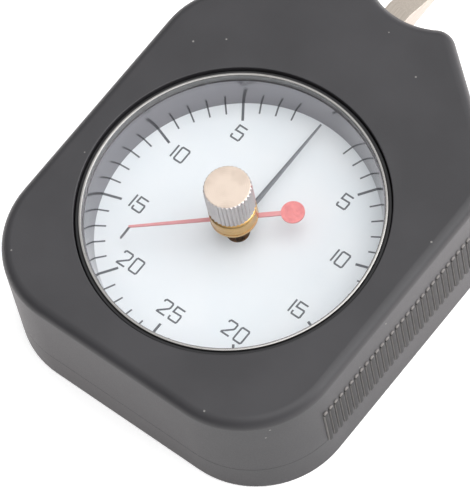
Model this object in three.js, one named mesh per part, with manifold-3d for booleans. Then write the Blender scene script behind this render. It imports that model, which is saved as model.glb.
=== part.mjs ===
// Dial tension gauge: a flat case with a round dial, a lever that swings out of the
// top, and a knob through the crystal that turns the drag pointer back.
// Millimetres. The origin is on the dial's axis at the flat back of the case,
// +Z points out of the dial, and +Y points to the dial's zero and to the lever.

import * as THREE from 'three';
import { mergeVertices } from 'three/addons/utils/BufferGeometryUtils.js';
import Module from 'manifold-3d';

const wasm = await Module();
wasm.setup();

const { degToRad } = THREE.MathUtils;
const upward = new THREE.Vector3(0, 0, 1);

// Fits and cuts
const runningGap = 0.05;
const seatGap = 0.1;
const overrun = 2;

// Case. Its depth follows from what it holds, so it is worked out further down.
const caseWidth = 60.4;
const caseShift = 0.45;
const sideMargin = 5.15;
const lowerMargin = 6.45;
const scoopRoom = 10.75;
const cornerRadius = 15.7;
const shoulderRise = 14.8;
const shoulderAngle = degToRad(38.66);
const shoulderRadius = 13.2;
const scoopRadius = 13.2;
const hornRadius = 3.4;
const sideWall = 2.2;
const frontWall = 2.2;
const rearWall = 2;
const partingHeight = 6.5;
const frontFillet = 1.3;
const rearFillet = 0.4;
const cavityCornerRadius = 1.5;

// Grip ribs on both sides of the case
const ribPitch = 1.3;
const ribWidth = 0.86;
const ribProud = 0.3;
const ribHeight = 9.3;
const ribOverhang = 1.3;

// Case screws, with their posts and bosses
const lowerPostInset = 7.8;
const upperPostInset = 8.4;
const upperPostDrop = 1.6;
const postRadius = 2.6;
const caseScrewRadius = 0.95;
const caseScrewReach = 10.1;
const caseScrewHeadRadius = 1.9;
const caseScrewHeadHeight = 1.6;
const caseScrewSink = 0.3;
const caseScrewTipRoom = 0.5;
const screwSlotWidth = 0.5;
const screwSlotDepth = 0.6;

// Window and dial
const ringGap = 0.2;
const skirtWall = 1.5;
const ledgeWidth = 5.05;
const ledgeThickness = 1.7;
const dialThickness = 0.8;
const dialHoleRadius = 1.9;
const windowDepth = 6;
const reflectorWidth = 2.25;
const gasketWidth = 0.55;
const gasketSink = 0.7;
const bezelWidth = 0.52;
const bezelSink = 0.3;
const bezelChamfer = 0.15;
const crystalThickness = 1.4;
const crystalSink = 0.4;

// Bush in the crystal, reset knob and spindle
const knobRadius = 3.85;
const knobHeight = 6.4;
const knobChamfer = 0.25;
const knobLift = 0.1;
const knurlCount = 34;
const knurlDepth = 0.24;
const bushFlangeHeight = 1.4;
const bushShoulder = 0.29;
const bushThreadStep = 0.85;
const nutHeight = 0.85;
const nutChamfer = 0.3;
const spindleRadius = 1.5;
const spindleSocket = 4;
const spindleSocketRoom = 0.2;

// Drag pointer
const dragRestAngle = degToRad(130.5);
const dragThickness = 0.3;
const dragGap = 0.15;
const dragHubRadius = 2.3;
const dragTipBack = 4.98;
const dragRootWidth = 0.7;
const dragTipWidth = 0.35;
const dragTailWidth = 0.75;
const dragDiscPlace = 9.15;
const dragDiscRadius = 1.9;
const tabRun = 1.81;
const tabLift = 1.3;
const tabWidth = 0.38;
const tabThickness = 0.3;
const washerRadius = 2.4;
const washerThickness = 0.7;
const washerGap = 0.1;
const spindleTail = 0.2;

// Needle and its hub
const needleLift = 2.05;
const needleThickness = 0.25;
const needleTipGap = 1.1;
const needleRootWidth = 0.95;
const needleTipWidth = 0.28;
const needleEyeRadius = 1.5;
const needleHubRadius = 1.4;
const needleHubNeckRadius = 1;
const needleHubDrop = 0.9;
const needleHubRise = 0.65;

// Movement plates, pillars and screws
const rearPlateRoom = 1.6;
const plateThickness = 1.2;
const plateSideInset = 7.05;
const plateEndInset = 5.55;
const plateOverPivot = 5;
const plateCornerRadius = 6;
const pillarSideInset = 3.5;
const lowerPillarRise = 10.5;
const upperPillarDrop = 3.5;
const pillarRadius = 1.7;
const spigotRadius = 0.9;
const plateScrewRadius = 0.7;
const plateScrewReach = 4;
const plateScrewHeadRadius = 1.35;
const plateScrewHeadHeight = 0.9;
const screwTipRoom = 0.4;
const mountScrewAngle = degToRad(46.8);
const mountScrewRadius = 0.8;
const mountScrewReach = 2.6;
const mountScrewHeadRadius = 1.5;
const mountScrewHeadHeight = 1.1;

// Gears: the sector turns the pinion, and their module follows from the two centres
const pinionTeeth = 12;
const sectorRoundTeeth = 168;
const sectorCutTeeth = 15;
const pressureAngle = degToRad(20);
const addendumShare = 0.7;
const dedendumShare = 1.05;
const backlash = 0.08;
const sectorLift = 0.9;
const sectorThickness = 1.2;
const pinionMargin = 0.5;
const sectorEyeRadius = 3.4;
const sectorWindowInner = 10;
const sectorWindowBack = 5.03;
const sectorRim = 2.4;
const pointerTravel = degToRad(180);

// Shafts, bushes and stops
const arborRadius = 0.6;
const arborTail = 0.4;
const pivotRadius = 1.2;
const pivotTail = 0.4;
const bushWall = 1;
const bushFlangeWidth = 0.6;
const bushFlangeThickness = 0.5;
const stopPinRadius = 0.8;
const stopPinBack = 7.03;
const stopPinProud = 0.5;
const stopGap = 0.1;

// Springs
const hairspringTurns = 4;
const hairspringLift = 0.9;
const hairspringHeight = 0.8;
const hairspringThickness = 0.2;
const hairspringWidth = 4.9;
const springTouchGap = 0.3;
const colletWall = 1;
const colletMargin = 0.1;
const studRadius = 0.8;
const coilWireRadius = 0.3;
const coilShaftGap = 0.4;
const coilPitch = 0.75;
const coilExtraTurns = 2;
const coilLift = 0.45;
const coilHeadroom = 0.475;
const springPostPlace = 6.5;
const drivePinPitch = 3.3;
const coilLegPast = 2.2;
const springPinMargin = 0.4;

// Lever
const barWidth = 4.2;
const barOffset = -2.3;
const barLift = 1;
const barHeight = 3.85;
const barStart = 2.2;
const barTaperRoom = 3.1;
const barTaperAngle = degToRad(20.3);
const stripThickness = 1.9;
const stripNarrowStart = 32;
const leverLength = 86.5;
const leverTipWidth = 2.2;
const slotGap = 0.45;
const hubRadius = 4.4;
const hubGap = 0.55;
const hubLift = 0.4;
const hubArmWidth = 4;
const hubArmRoom = 1.4;
const hubRebate = 0.3;
const leverScrewRadius = 0.5;
const leverScrewReach = 7;
const leverScrewHeadRadius = 1;
const leverScrewHeadHeight = 0.7;
const leverScrewPlace = 3.5;
const leverScrewPitch = 2.4;

// Places seen from the front, outwards from the dial's axis and up to the lever
const halfWidth = caseWidth / 2;
const windowRadius = halfWidth - sideMargin;
const caseBottom = windowRadius + lowerMargin;
const pivotY = windowRadius + skirtWall + hubGap + hubRadius;
const scoopBottom = pivotY + scoopRoom;
const scoopCentreY = scoopBottom + scoopRadius;
const shoulderStart = scoopBottom - shoulderRise;
const shoulderNormal = new THREE.Vector2(Math.sin(shoulderAngle), Math.cos(shoulderAngle));
const shoulderReach = shoulderNormal.dot(new THREE.Vector2(halfWidth, shoulderStart));
const shoulderShift = shoulderNormal.x * caseShift;
const ledgeInnerRadius = windowRadius - ledgeWidth;
const ringRadius = windowRadius - ringGap;
const reflectorRadius = windowRadius - reflectorWidth;
const gasketInner = ringRadius - gasketWidth;
const bezelInner = gasketInner - bezelWidth;
const bushRadius = knobRadius;
const bushNeckRadius = bushRadius - bushShoulder;
const bushThreadRadius = bushNeckRadius - bushThreadStep;
const needleTipRadius = reflectorRadius - needleTipGap;
const dragTipRadius = needleTipRadius - dragTipBack;
const tabReach = dragTipRadius + tabRun;
const plateHalfWidth = windowRadius - plateSideInset;
const plateBottom = windowRadius - plateEndInset;
const pillarX = plateHalfWidth - pillarSideInset;
const coilRadius = pivotRadius + coilShaftGap + coilWireRadius;
const springPinRadius = coilRadius - coilWireRadius - seatGap;
const drivePinPlace = springPostPlace + drivePinPitch;
const coilLegLength = drivePinPlace + coilLegPast;
const colletRadius = arborRadius + colletWall;
const hairspringInner = colletRadius + springTouchGap + hairspringThickness / 2;
const hairspringOuter = colletRadius + hairspringWidth;

// Gears, and how far the lever swings while the needle turns half round
const gearModule = 2 * pivotY / (pinionTeeth + sectorRoundTeeth);
const pinionPitchRadius = gearModule * pinionTeeth / 2;
const sectorPitchRadius = gearModule * sectorRoundTeeth / 2;
const leverSwing = pointerTravel * pinionTeeth / sectorRoundTeeth;
const sectorHalfSpan = Math.PI * sectorCutTeeth / sectorRoundTeeth;
const sectorRootRadius = sectorPitchRadius - dedendumShare * gearModule;
const sectorWindowOuter = sectorRootRadius - sectorWindowBack;
const stopPinPlace = sectorRootRadius - stopPinBack;

// Heights, from the back up to the crystal
const rearPlateHeight = rearWall + rearPlateRoom;
const rearPlateTop = rearPlateHeight + plateThickness;
const sectorBottom = rearPlateTop + bushFlangeThickness + sectorLift;
const sectorTop = sectorBottom + sectorThickness;
const pinionBottom = sectorBottom - pinionMargin;
const pinionTop = sectorTop + pinionMargin;
const hairspringBottom = pinionTop + hairspringLift;
const coilBottom = sectorTop + coilLift + coilWireRadius;
const coilTop = coilBottom + (coilExtraTurns + 0.5) * coilPitch;
const frontPlateBottom = coilTop + coilWireRadius + coilHeadroom + bushFlangeThickness;
const ledgeBottom = frontPlateBottom + plateThickness;
const ledgeTop = ledgeBottom + ledgeThickness;
const dialHeight = ledgeTop + dialThickness;
const hubBottom = ledgeBottom + hubLift;
const barBottom = ledgeBottom + barLift;
const needleHeight = dialHeight + needleLift;
const tabBottom = dialHeight + tabLift;
const crystalBottom = dialHeight + windowDepth;
const crystalTop = crystalBottom + crystalThickness;
const caseDepth = crystalTop + crystalSink;
const nutBottom = crystalBottom - nutHeight;
const knobBottom = crystalTop + bushFlangeHeight + knobLift;
const dragTop = nutBottom - dragGap;
const dragBottom = dragTop - dragThickness;
const washerBottom = dragBottom - washerGap - washerThickness;

const lowerPostX = halfWidth - lowerPostInset;
const upperPostX = halfWidth - upperPostInset;
const postPlaces = [
  [caseShift + lowerPostX, -caseBottom + lowerPostInset],
  [caseShift - lowerPostX, -caseBottom + lowerPostInset],
  [caseShift - upperPostX, shoulderStart - upperPostDrop],
  [caseShift + upperPostX, shoulderStart - upperPostDrop],
];
const pillarPlaces = [
  [pillarX, -plateBottom + lowerPillarRise],
  [-pillarX, -plateBottom + lowerPillarRise],
  [-pillarX, pivotY - upperPillarDrop],
  [pillarX, pivotY - upperPillarDrop],
];
// On the middle of the ledge, two above and two below the dial's axis
const mountScrewPlaces = [-1, 1].flatMap((side) => [-1, 1].map((end) => {
  const [x, y] = onCircle((ledgeInnerRadius + windowRadius) / 2, mountScrewAngle);
  return [side * x, end * y];
}));

// Looks: colour, roughness and metalness of each material
const looks = {
  casePlastic: { color: 0x4f4f52, roughness: 0.62, metalness: 0 },
  dialWhite: { color: 0xe9ecf0, roughness: 0.7, metalness: 0 },
  polishedSteel: { color: 0xc9cacc, roughness: 0.15, metalness: 1 },
  brushedSteel: { color: 0xb9b3ac, roughness: 0.35, metalness: 1 },
  darkRubber: { color: 0x2e2e30, roughness: 0.8, metalness: 0 },
  clearGlass: { color: 0xf4f8fa, roughness: 0.04, metalness: 0, transparent: true, opacity: 0.15 },
  brass: { color: 0xcda564, roughness: 0.3, metalness: 1 },
  nickel: { color: 0xcfc4b0, roughness: 0.28, metalness: 1 },
  redPaint: { color: 0xf58c86, roughness: 0.5, metalness: 0 },
  blackPaint: { color: 0x3a3c40, roughness: 0.45, metalness: 0 },
  springSteel: { color: 0x8f9398, roughness: 0.3, metalness: 1 },
  darkSteel: { color: 0x55585c, roughness: 0.4, metalness: 1 },
};

// Solids and geometry

// A closed solid of a three.js geometry, with its faces out whichever way its profile runs.
function solid(geometry) {
  const bare = new THREE.BufferGeometry();
  bare.setAttribute('position', geometry.getAttribute('position').clone());
  if (geometry.index) {
    bare.setIndex(geometry.index.clone());
  }
  const merged = mergeVertices(bare);
  const positions = merged.getAttribute('position');
  const corners = [0, 1, 2].map(() => new THREE.Vector3());
  const triangles = [];
  let volume = 0;
  for (let i = 0; i < merged.index.count; i += 3) {
    const [a, b, c] = [0, 1, 2].map((step) => merged.index.getX(i + step));
    if (a !== b && b !== c && c !== a) {
      triangles.push([a, b, c]);
      [a, b, c].forEach((vertex, k) => corners[k].fromBufferAttribute(positions, vertex));
      volume += corners[0].dot(corners[1].cross(corners[2]));
    }
  }
  const facing = volume > 0 ? triangles : triangles.map(([a, b, c]) => [a, c, b]);
  return new wasm.Manifold(new wasm.Mesh({
    numProp: 3,
    vertProperties: new Float32Array(positions.array),
    triVerts: new Uint32Array(facing.flat()),
  }));
}

function geometryOf(body) {
  const mesh = body.getMesh();
  const geometry = new THREE.BufferGeometry();
  geometry.setAttribute('position', new THREE.BufferAttribute(mesh.vertProperties, 3));
  geometry.setIndex(new THREE.BufferAttribute(mesh.triVerts, 1));
  geometry.computeVertexNormals();
  return geometry;
}

function join(...bodies) {
  return bodies.reduce((whole, body) => whole.add(body));
}

function cut(body, ...tools) {
  return tools.reduce((rest, tool) => rest.subtract(tool), body);
}

// Round pieces have more sides the larger they are
function sidesOf(radius) {
  if (radius > windowRadius / 2) {
    return 48;
  }
  return radius > caseScrewHeadRadius ? 16 : 12;
}

// A turned solid: its profile is a closed list of [radius, height] pairs about +Z.
function turned(profile) {
  const largest = Math.max(...profile.map(([radius]) => radius));
  const points = profile.map(([radius, height]) => new THREE.Vector2(radius, height));
  points.push(points[0].clone());
  const geometry = new THREE.LatheGeometry(points, sidesOf(largest));
  geometry.rotateX(Math.PI / 2);
  return solid(geometry);
}

function rod(radius, bottom, top) {
  return turned([[0, bottom], [radius, bottom], [radius, top], [0, top]]);
}

function tube(inner, outer, bottom, top) {
  return turned([[inner, bottom], [outer, bottom], [outer, top], [inner, top]]);
}

function block(width, depth, bottom, top, x = 0, y = 0) {
  const geometry = new THREE.BoxGeometry(width, depth, top - bottom);
  geometry.translate(x, y, (bottom + top) / 2);
  return solid(geometry);
}

function prism(shape, bottom, top, curveSegments = 8) {
  const geometry = new THREE.ExtrudeGeometry(shape, {
    depth: top - bottom,
    bevelEnabled: false,
    curveSegments,
  });
  geometry.translate(0, 0, bottom);
  return solid(geometry);
}

// A prism that runs along +X, from an outline drawn with Y and Z
function crossPrism(shape, start, end) {
  const geometry = new THREE.ExtrudeGeometry(shape, { depth: end - start, bevelEnabled: false });
  geometry.translate(0, 0, start);
  const toX = new THREE.Matrix4().makeBasis(
    new THREE.Vector3(0, 1, 0),
    new THREE.Vector3(0, 0, 1),
    new THREE.Vector3(1, 0, 0),
  );
  geometry.applyMatrix4(toX);
  return solid(geometry);
}

function roundHole(radius) {
  const path = new THREE.Path();
  path.absarc(0, 0, radius, 0, 2 * Math.PI, true);
  return path;
}

function polygon(points) {
  return new THREE.Shape(points.map(([x, y]) => new THREE.Vector2(x, y)));
}

// A counter-clockwise outline with a round at each corner, given as [x, y, radius]
function roundedOutline(corners) {
  const shape = new THREE.Shape();
  corners.forEach(([x, y, radius], index) => {
    const corner = new THREE.Vector2(x, y);
    const before = new THREE.Vector2(...corners.at(index - 1).slice(0, 2));
    const after = new THREE.Vector2(...corners[(index + 1) % corners.length].slice(0, 2));
    const arriving = corner.clone().sub(before).normalize();
    const leaving = after.clone().sub(corner).normalize();
    const turn = Math.acos(arriving.dot(leaving));
    const inward = new THREE.Vector2(-arriving.y, arriving.x);
    const centre = corner.clone()
      .addScaledVector(arriving, -radius * Math.tan(turn / 2))
      .addScaledVector(inward, radius);
    const start = arriving.angle() - Math.PI / 2;
    shape.absarc(centre.x, centre.y, radius, start, start + turn, false);
  });
  return shape;
}

// A screw with its head below the height zero and its shank up +Z
function screw(radius, reach, headRadius, headHeight) {
  return turned([
    [0, -headHeight],
    [headRadius, -headHeight],
    [headRadius, 0],
    [radius, 0],
    [radius, reach],
    [0, reach],
  ]);
}

function slottedScrew(radius, reach, headRadius, headHeight) {
  const slot = block(screwSlotWidth, 2 * headRadius + overrun, -headHeight - overrun,
    -headHeight + screwSlotDepth);
  return cut(screw(radius, reach, headRadius, headHeight), slot);
}

function addPiece(parent, name, look, body, place = [0, 0, 0]) {
  const mesh = new THREE.Mesh(geometryOf(body), new THREE.MeshStandardMaterial(look));
  mesh.name = name;
  mesh.position.set(...place);
  parent.add(mesh);
  return mesh;
}

// Case

// Outline seen from the front: two lower corners, two sloped shoulders and two horns
// beside the scoop where the lever comes out. The scoop stays in line with the lever.
function caseOutline() {
  const cornerX = halfWidth - cornerRadius;
  const lowerY = -caseBottom + cornerRadius;
  const shoulderX = halfWidth - shoulderRadius;
  const facing = Math.PI / 2 - shoulderAngle;
  const horns = [hornCentre(1), hornCentre(-1)];
  const [right, left] = horns;
  const [rightIn, leftIn] = horns.map((horn) => Math.atan2(scoopCentreY - horn.y, -horn.x));
  const shape = new THREE.Shape();
  shape.absarc(caseShift + cornerX, lowerY, cornerRadius, -Math.PI / 2, 0, false);
  shape.absarc(caseShift + shoulderX, shoulderY(), shoulderRadius, 0, facing, false);
  shape.absarc(right.x, right.y, hornRadius, facing, rightIn, false);
  shape.absarc(0, scoopCentreY, scoopRadius, rightIn - Math.PI, -leftIn, true);
  shape.absarc(-left.x, left.y, hornRadius, Math.PI - leftIn, Math.PI - facing, false);
  shape.absarc(caseShift - shoulderX, shoulderY(), shoulderRadius, Math.PI - facing, Math.PI, false);
  shape.absarc(caseShift - cornerX, lowerY, cornerRadius, Math.PI, 1.5 * Math.PI, false);
  return shape;
}

// Where the straight sides end and the shoulders' rounds start
function shoulderY() {
  return shoulderStart - shoulderRadius * Math.tan((Math.PI / 2 - shoulderAngle) / 2);
}

// The horn's round touches the shoulder from inside and the scoop from outside. The place
// is that of the right horn, or of the left one seen in a mirror.
function hornCentre(side) {
  const scoopCentre = new THREE.Vector2(0, scoopCentreY);
  const reach = shoulderReach + side * shoulderShift;
  const away = shoulderNormal.dot(scoopCentre) - (reach - hornRadius);
  const along = Math.sqrt((scoopRadius + hornRadius) ** 2 - away ** 2);
  const shoulderDirection = new THREE.Vector2(shoulderNormal.y, -shoulderNormal.x);
  return scoopCentre.addScaledVector(shoulderNormal, -away)
    .addScaledVector(shoulderDirection, along);
}

function hornTop() {
  return Math.max(hornCentre(1).y, hornCentre(-1).y) + hornRadius;
}

function caseCavity(bottom, top) {
  const side = halfWidth - sideWall;
  const reach = shoulderReach - sideWall;
  const bendY = (reach - side * shoulderNormal.x) / shoulderNormal.y;
  const topY = scoopBottom - sideWall;
  const topX = (reach - topY * shoulderNormal.y) / shoulderNormal.x;
  const lowerY = -caseBottom + sideWall;
  return prism(roundedOutline([
    [side, lowerY, cornerRadius - sideWall],
    [side, bendY, shoulderRadius - sideWall],
    [topX, topY, cavityCornerRadius],
    [-topX, topY, cavityCornerRadius],
    [-side, bendY, shoulderRadius - sideWall],
    [-side, lowerY, cornerRadius - sideWall],
  ]), bottom, top).translate([caseShift, 0, 0]);
}

// The case's outer form with a fillet round both of its faces
function filletedBlock(fillet, bottom, top) {
  const geometry = new THREE.ExtrudeGeometry(caseOutline(), {
    depth: top - bottom - 2 * fillet,
    bevelThickness: fillet,
    bevelSize: fillet,
    bevelOffset: -fillet,
    bevelSegments: 2,
    curveSegments: 8,
  });
  geometry.translate(0, 0, bottom + fillet);
  return solid(geometry);
}

// Ribs stand along the whole straight side, with a narrower crest than root
function gripRibs() {
  const first = -caseBottom + cornerRadius - ribOverhang;
  const last = shoulderY() + ribOverhang;
  const root = halfWidth - ribProud;
  const crest = halfWidth + ribProud;
  const ribs = [];
  for (let y = first; y <= last; y += ribPitch) {
    for (const side of [-1, 1]) {
      const section = polygon([
        [side * root, y - ribWidth / 2],
        [side * halfWidth, y - ribWidth / 2],
        [side * crest, y - ribWidth / 4],
        [side * crest, y + ribWidth / 4],
        [side * halfWidth, y + ribWidth / 2],
        [side * root, y + ribWidth / 2],
      ]);
      ribs.push(prism(section, partingHeight, partingHeight + ribHeight)
        .translate([caseShift, 0, 0]));
    }
  }
  return ribs;
}

// Half-width of the lever's slot, so that the bar clears it at the ends of its swing
function slotHalfWidth() {
  const barFar = Math.abs(barOffset) + barWidth / 2;
  const along = (hornTop() - pivotY + barFar * Math.sin(leverSwing)) / Math.cos(leverSwing);
  return barFar * Math.cos(leverSwing) + along * Math.sin(leverSwing) + slotGap;
}

function frontCase() {
  const slabWidth = 2 * caseWidth;
  const slotY = scoopBottom - sideWall;
  const slotTop = hornTop() + overrun;
  const skirt = turned([
    [ledgeInnerRadius, ledgeBottom],
    [windowRadius + skirtWall, ledgeBottom],
    [windowRadius + skirtWall, caseDepth - frontWall / 2],
    [windowRadius - ringGap, caseDepth - frontWall / 2],
    [windowRadius - ringGap, ledgeTop],
    [ledgeInnerRadius, ledgeTop],
  ]);
  const posts = postPlaces.map(([x, y]) => (
    rod(postRadius, partingHeight, caseDepth - frontWall / 2).translate([x, y, 0])));
  const tapHoles = postPlaces.map(([x, y]) => rod(caseScrewRadius + runningGap,
    partingHeight - overrun, caseScrewTop() + caseScrewTipRoom).translate([x, y, 0]));
  const mountHoles = mountScrewPlaces.map(([x, y]) => rod(mountScrewRadius + runningGap,
    ledgeBottom - overrun, ledgeTop + ringGap).translate([x, y, 0]));
  const shell = cut(
    filletedBlock(frontFillet, partingHeight - overrun, caseDepth),
    block(slabWidth, slabWidth, -overrun, partingHeight),
    caseCavity(0, caseDepth - frontWall),
  );
  return cut(
    join(shell, skirt, ...posts, ...gripRibs()),
    rod(windowRadius, ledgeTop, caseDepth + overrun),
    block(2 * slotHalfWidth(), slotTop - slotY + overrun, barBottom - slotGap,
      barBottom + barHeight + slotGap, 0, (slotTop + slotY - overrun) / 2),
    ...tapHoles,
    ...mountHoles,
  );
}

function caseScrewTop() {
  return caseScrewSink + caseScrewHeadHeight + caseScrewReach;
}

function rearCover() {
  const slabWidth = 2 * caseWidth;
  const headTop = caseScrewSink + caseScrewHeadHeight;
  const bosses = postPlaces.map(([x, y]) => (
    rod(postRadius, rearWall / 2, partingHeight).translate([x, y, 0])));
  const holes = postPlaces.map(([x, y]) => (
    join(
      rod(caseScrewRadius + seatGap, 0, partingHeight + overrun),
      rod(caseScrewHeadRadius + seatGap, -overrun, headTop),
    ).translate([x, y, 0])));
  const shell = cut(
    filletedBlock(rearFillet, 0, partingHeight + rearFillet + overrun),
    block(slabWidth, slabWidth, partingHeight, caseDepth),
    caseCavity(rearWall, caseDepth),
  );
  return cut(join(shell, ...bosses), ...holes);
}

// Window: the rings, the crystal and its bush, and the dial

function bezelRing() {
  const top = caseDepth - bezelSink;
  return turned([
    [bezelInner, crystalBottom],
    [gasketInner, crystalBottom],
    [gasketInner, top - bezelChamfer],
    [gasketInner - bezelChamfer, top],
    [bezelInner + bezelChamfer, top],
    [bezelInner, top - bezelChamfer],
  ]);
}

function crystalBush() {
  const bore = spindleRadius + runningGap;
  return turned([
    [bore, nutBottom],
    [bushThreadRadius, nutBottom],
    [bushThreadRadius, crystalBottom],
    [bushNeckRadius, crystalBottom],
    [bushNeckRadius, crystalTop],
    [bushRadius, crystalTop],
    [bushRadius, crystalTop + bushFlangeHeight],
    [bore, crystalTop + bushFlangeHeight],
  ]);
}

function bushNut() {
  const bore = bushThreadRadius + runningGap;
  return turned([
    [bore, nutBottom],
    [bushRadius - nutChamfer, nutBottom],
    [bushRadius, nutBottom + nutChamfer],
    [bushRadius, crystalBottom],
    [bore, crystalBottom],
  ]);
}

// Movement plates and their bushes

function plateOutline() {
  const top = pivotY + plateOverPivot;
  return roundedOutline([
    [plateHalfWidth, -plateBottom, plateCornerRadius],
    [plateHalfWidth, top, plateCornerRadius],
    [-plateHalfWidth, top, plateCornerRadius],
    [-plateHalfWidth, -plateBottom, plateCornerRadius],
  ]);
}

function movementPlate(bottom, pillarHoleRadius, extraHoles) {
  const top = bottom + plateThickness;
  const plateCornerSides = 6;
  const hole = (radius, [x, y]) => (
    rod(radius, bottom - overrun, top + overrun).translate([x, y, 0]));
  return cut(
    prism(plateOutline(), bottom, top, plateCornerSides),
    hole(bushBodyRadius(arborRadius), [0, 0]),
    hole(bushBodyRadius(pivotRadius), [0, pivotY]),
    ...pillarPlaces.map((place) => hole(pillarHoleRadius, place)),
    ...extraHoles.map((place) => hole(mountScrewRadius + seatGap, place)),
  );
}

// Radius of the hole that a shaft's bush is pressed into
function bushBodyRadius(shaftRadius) {
  return shaftRadius + bushWall + 2 * runningGap;
}

// A bush pressed into a plate, with its flange at the plate's face inside the movement
function plateBush(shaftRadius, plateFace, intoPlate) {
  const bore = shaftRadius + runningGap;
  const body = bushBodyRadius(shaftRadius) - runningGap;
  const flange = body + bushFlangeWidth;
  const flangeFace = plateFace - intoPlate * bushFlangeThickness;
  return turned([
    [bore, plateFace + intoPlate * plateThickness],
    [body, plateFace + intoPlate * plateThickness],
    [body, plateFace],
    [flange, plateFace],
    [flange, flangeFace],
    [bore, flangeFace],
  ]);
}

function pillar() {
  const bore = plateScrewRadius + runningGap;
  const boreTop = rearPlateTop + plateScrewReach - plateThickness + screwTipRoom;
  return turned([
    [bore, rearPlateTop],
    [pillarRadius, rearPlateTop],
    [pillarRadius, frontPlateBottom],
    [spigotRadius, frontPlateBottom],
    [spigotRadius, ledgeBottom],
    [0, ledgeBottom],
    [0, boreTop],
    [bore, boreTop],
  ]);
}

// Gears

function involute(angle) {
  return Math.tan(angle) - angle;
}

// Points of one tooth, about the given direction, from root to tip and back
function toothPoints(pitchRadius, direction) {
  const root = pitchRadius - dedendumShare * gearModule;
  const tip = pitchRadius + addendumShare * gearModule;
  const base = pitchRadius * Math.cos(pressureAngle);
  const halfTooth = (Math.PI * gearModule - 2 * backlash) / (4 * pitchRadius);
  const flankShares = [0, 0.35, 0.7, 1];
  const flank = flankShares.map((share) => {
    const radius = root + share * (tip - root);
    const unwound = involute(Math.acos(Math.min(1, base / radius)));
    return [radius, halfTooth + involute(pressureAngle) - unwound];
  });
  const rising = flank.map(([radius, angle]) => onCircle(radius, direction - angle));
  const falling = flank.map(([radius, angle]) => onCircle(radius, direction + angle));
  return [...rising, ...falling.reverse()];
}

function onCircle(radius, angle) {
  return [radius * Math.cos(angle), radius * Math.sin(angle)];
}

// A gap between two teeth faces the sector
function pinion() {
  const points = [];
  for (let tooth = 0; tooth < pinionTeeth; tooth += 1) {
    const direction = Math.PI / 2 + (tooth + 0.5) * 2 * Math.PI / pinionTeeth;
    points.push(...toothPoints(pinionPitchRadius, direction));
  }
  const shape = polygon(points);
  shape.holes.push(roundHole(arborRadius + runningGap));
  return prism(shape, pinionBottom, pinionTop, sidesOf(arborRadius));
}

// A fan with teeth on its rim, drawn about the pivot, that points down to the pinion
function sectorGear() {
  const down = -Math.PI / 2;
  const points = [onCircle(sectorRootRadius, down - sectorHalfSpan)];
  for (let tooth = 0; tooth < sectorCutTeeth; tooth += 1) {
    const step = tooth - (sectorCutTeeth - 1) / 2;
    points.push(...toothPoints(sectorPitchRadius, down + step * 2 * Math.PI / sectorRoundTeeth));
  }
  points.push(onCircle(sectorRootRadius, down + sectorHalfSpan));
  points.push(onCircle(sectorEyeRadius, 0));
  points.push(onCircle(sectorEyeRadius, Math.PI));
  const windowHalfSpan = (radius) => sectorHalfSpan - sectorRim / radius;
  const lightening = polygon([
    onCircle(sectorWindowInner, down - windowHalfSpan(sectorWindowInner)),
    onCircle(sectorWindowOuter, down - windowHalfSpan(sectorWindowOuter)),
    onCircle(sectorWindowOuter, down + windowHalfSpan(sectorWindowOuter)),
    onCircle(sectorWindowInner, down + windowHalfSpan(sectorWindowInner)),
  ]);
  const fan = prism(polygon(points), 0, sectorThickness);
  const eye = rod(sectorEyeRadius, 0, sectorThickness);
  return cut(
    join(fan, eye),
    rod(pivotRadius + runningGap, -overrun, sectorThickness + overrun),
    prism(lightening, -overrun, sectorThickness + overrun),
  );
}

// Angle at the pivot between the fan's centre line and a stop pin at its straight side
function stopPinAngle() {
  const [cornerX, cornerY] = onCircle(sectorRootRadius, sectorHalfSpan - Math.PI / 2);
  const side = new THREE.Vector2(cornerX - sectorEyeRadius, cornerY).normalize();
  const outward = new THREE.Vector2(-side.y, side.x);
  const reach = stopPinRadius + stopGap + outward.x * sectorEyeRadius;
  return outward.angle() + Math.asin(reach / stopPinPlace);
}

// Springs

// A flat spiral from the collet out to its stud, standing on edge
function hairspring() {
  const stepsPerTurn = 16;
  const steps = hairspringTurns * stepsPerTurn;
  const side = (offset) => Array.from({ length: steps + 1 }, (_, step) => {
    const share = step / steps;
    const radius = hairspringInner + share * (hairspringOuter - hairspringInner) + offset;
    return onCircle(radius, share * hairspringTurns * 2 * Math.PI);
  });
  const half = hairspringThickness / 2;
  const outline = polygon([...side(half), ...side(-half).reverse()]);
  return prism(outline, hairspringBottom, hairspringBottom + hairspringHeight);
}

// Centre line of the centring spring, about the pivot: a leg, the turns and a leg
class CentringLine extends THREE.Curve {
  constructor() {
    super();
    this.turns = coilExtraTurns + 0.5;
    this.wound = this.turns * Math.hypot(2 * Math.PI * coilRadius, coilPitch);
    this.whole = this.wound + 2 * coilLegLength;
  }

  getPoint(share, target = new THREE.Vector3()) {
    const along = share * this.whole;
    if (along < coilLegLength) {
      return target.set(-coilRadius, along - coilLegLength, 0);
    }
    const turned = Math.min(along - coilLegLength, this.wound) / this.wound;
    const angle = Math.PI - turned * this.turns * 2 * Math.PI;
    const past = Math.max(0, along - coilLegLength - this.wound);
    return target.set(
      coilRadius * Math.cos(angle),
      coilRadius * Math.sin(angle) - past,
      turned * this.turns * coilPitch,
    );
  }
}

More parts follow.
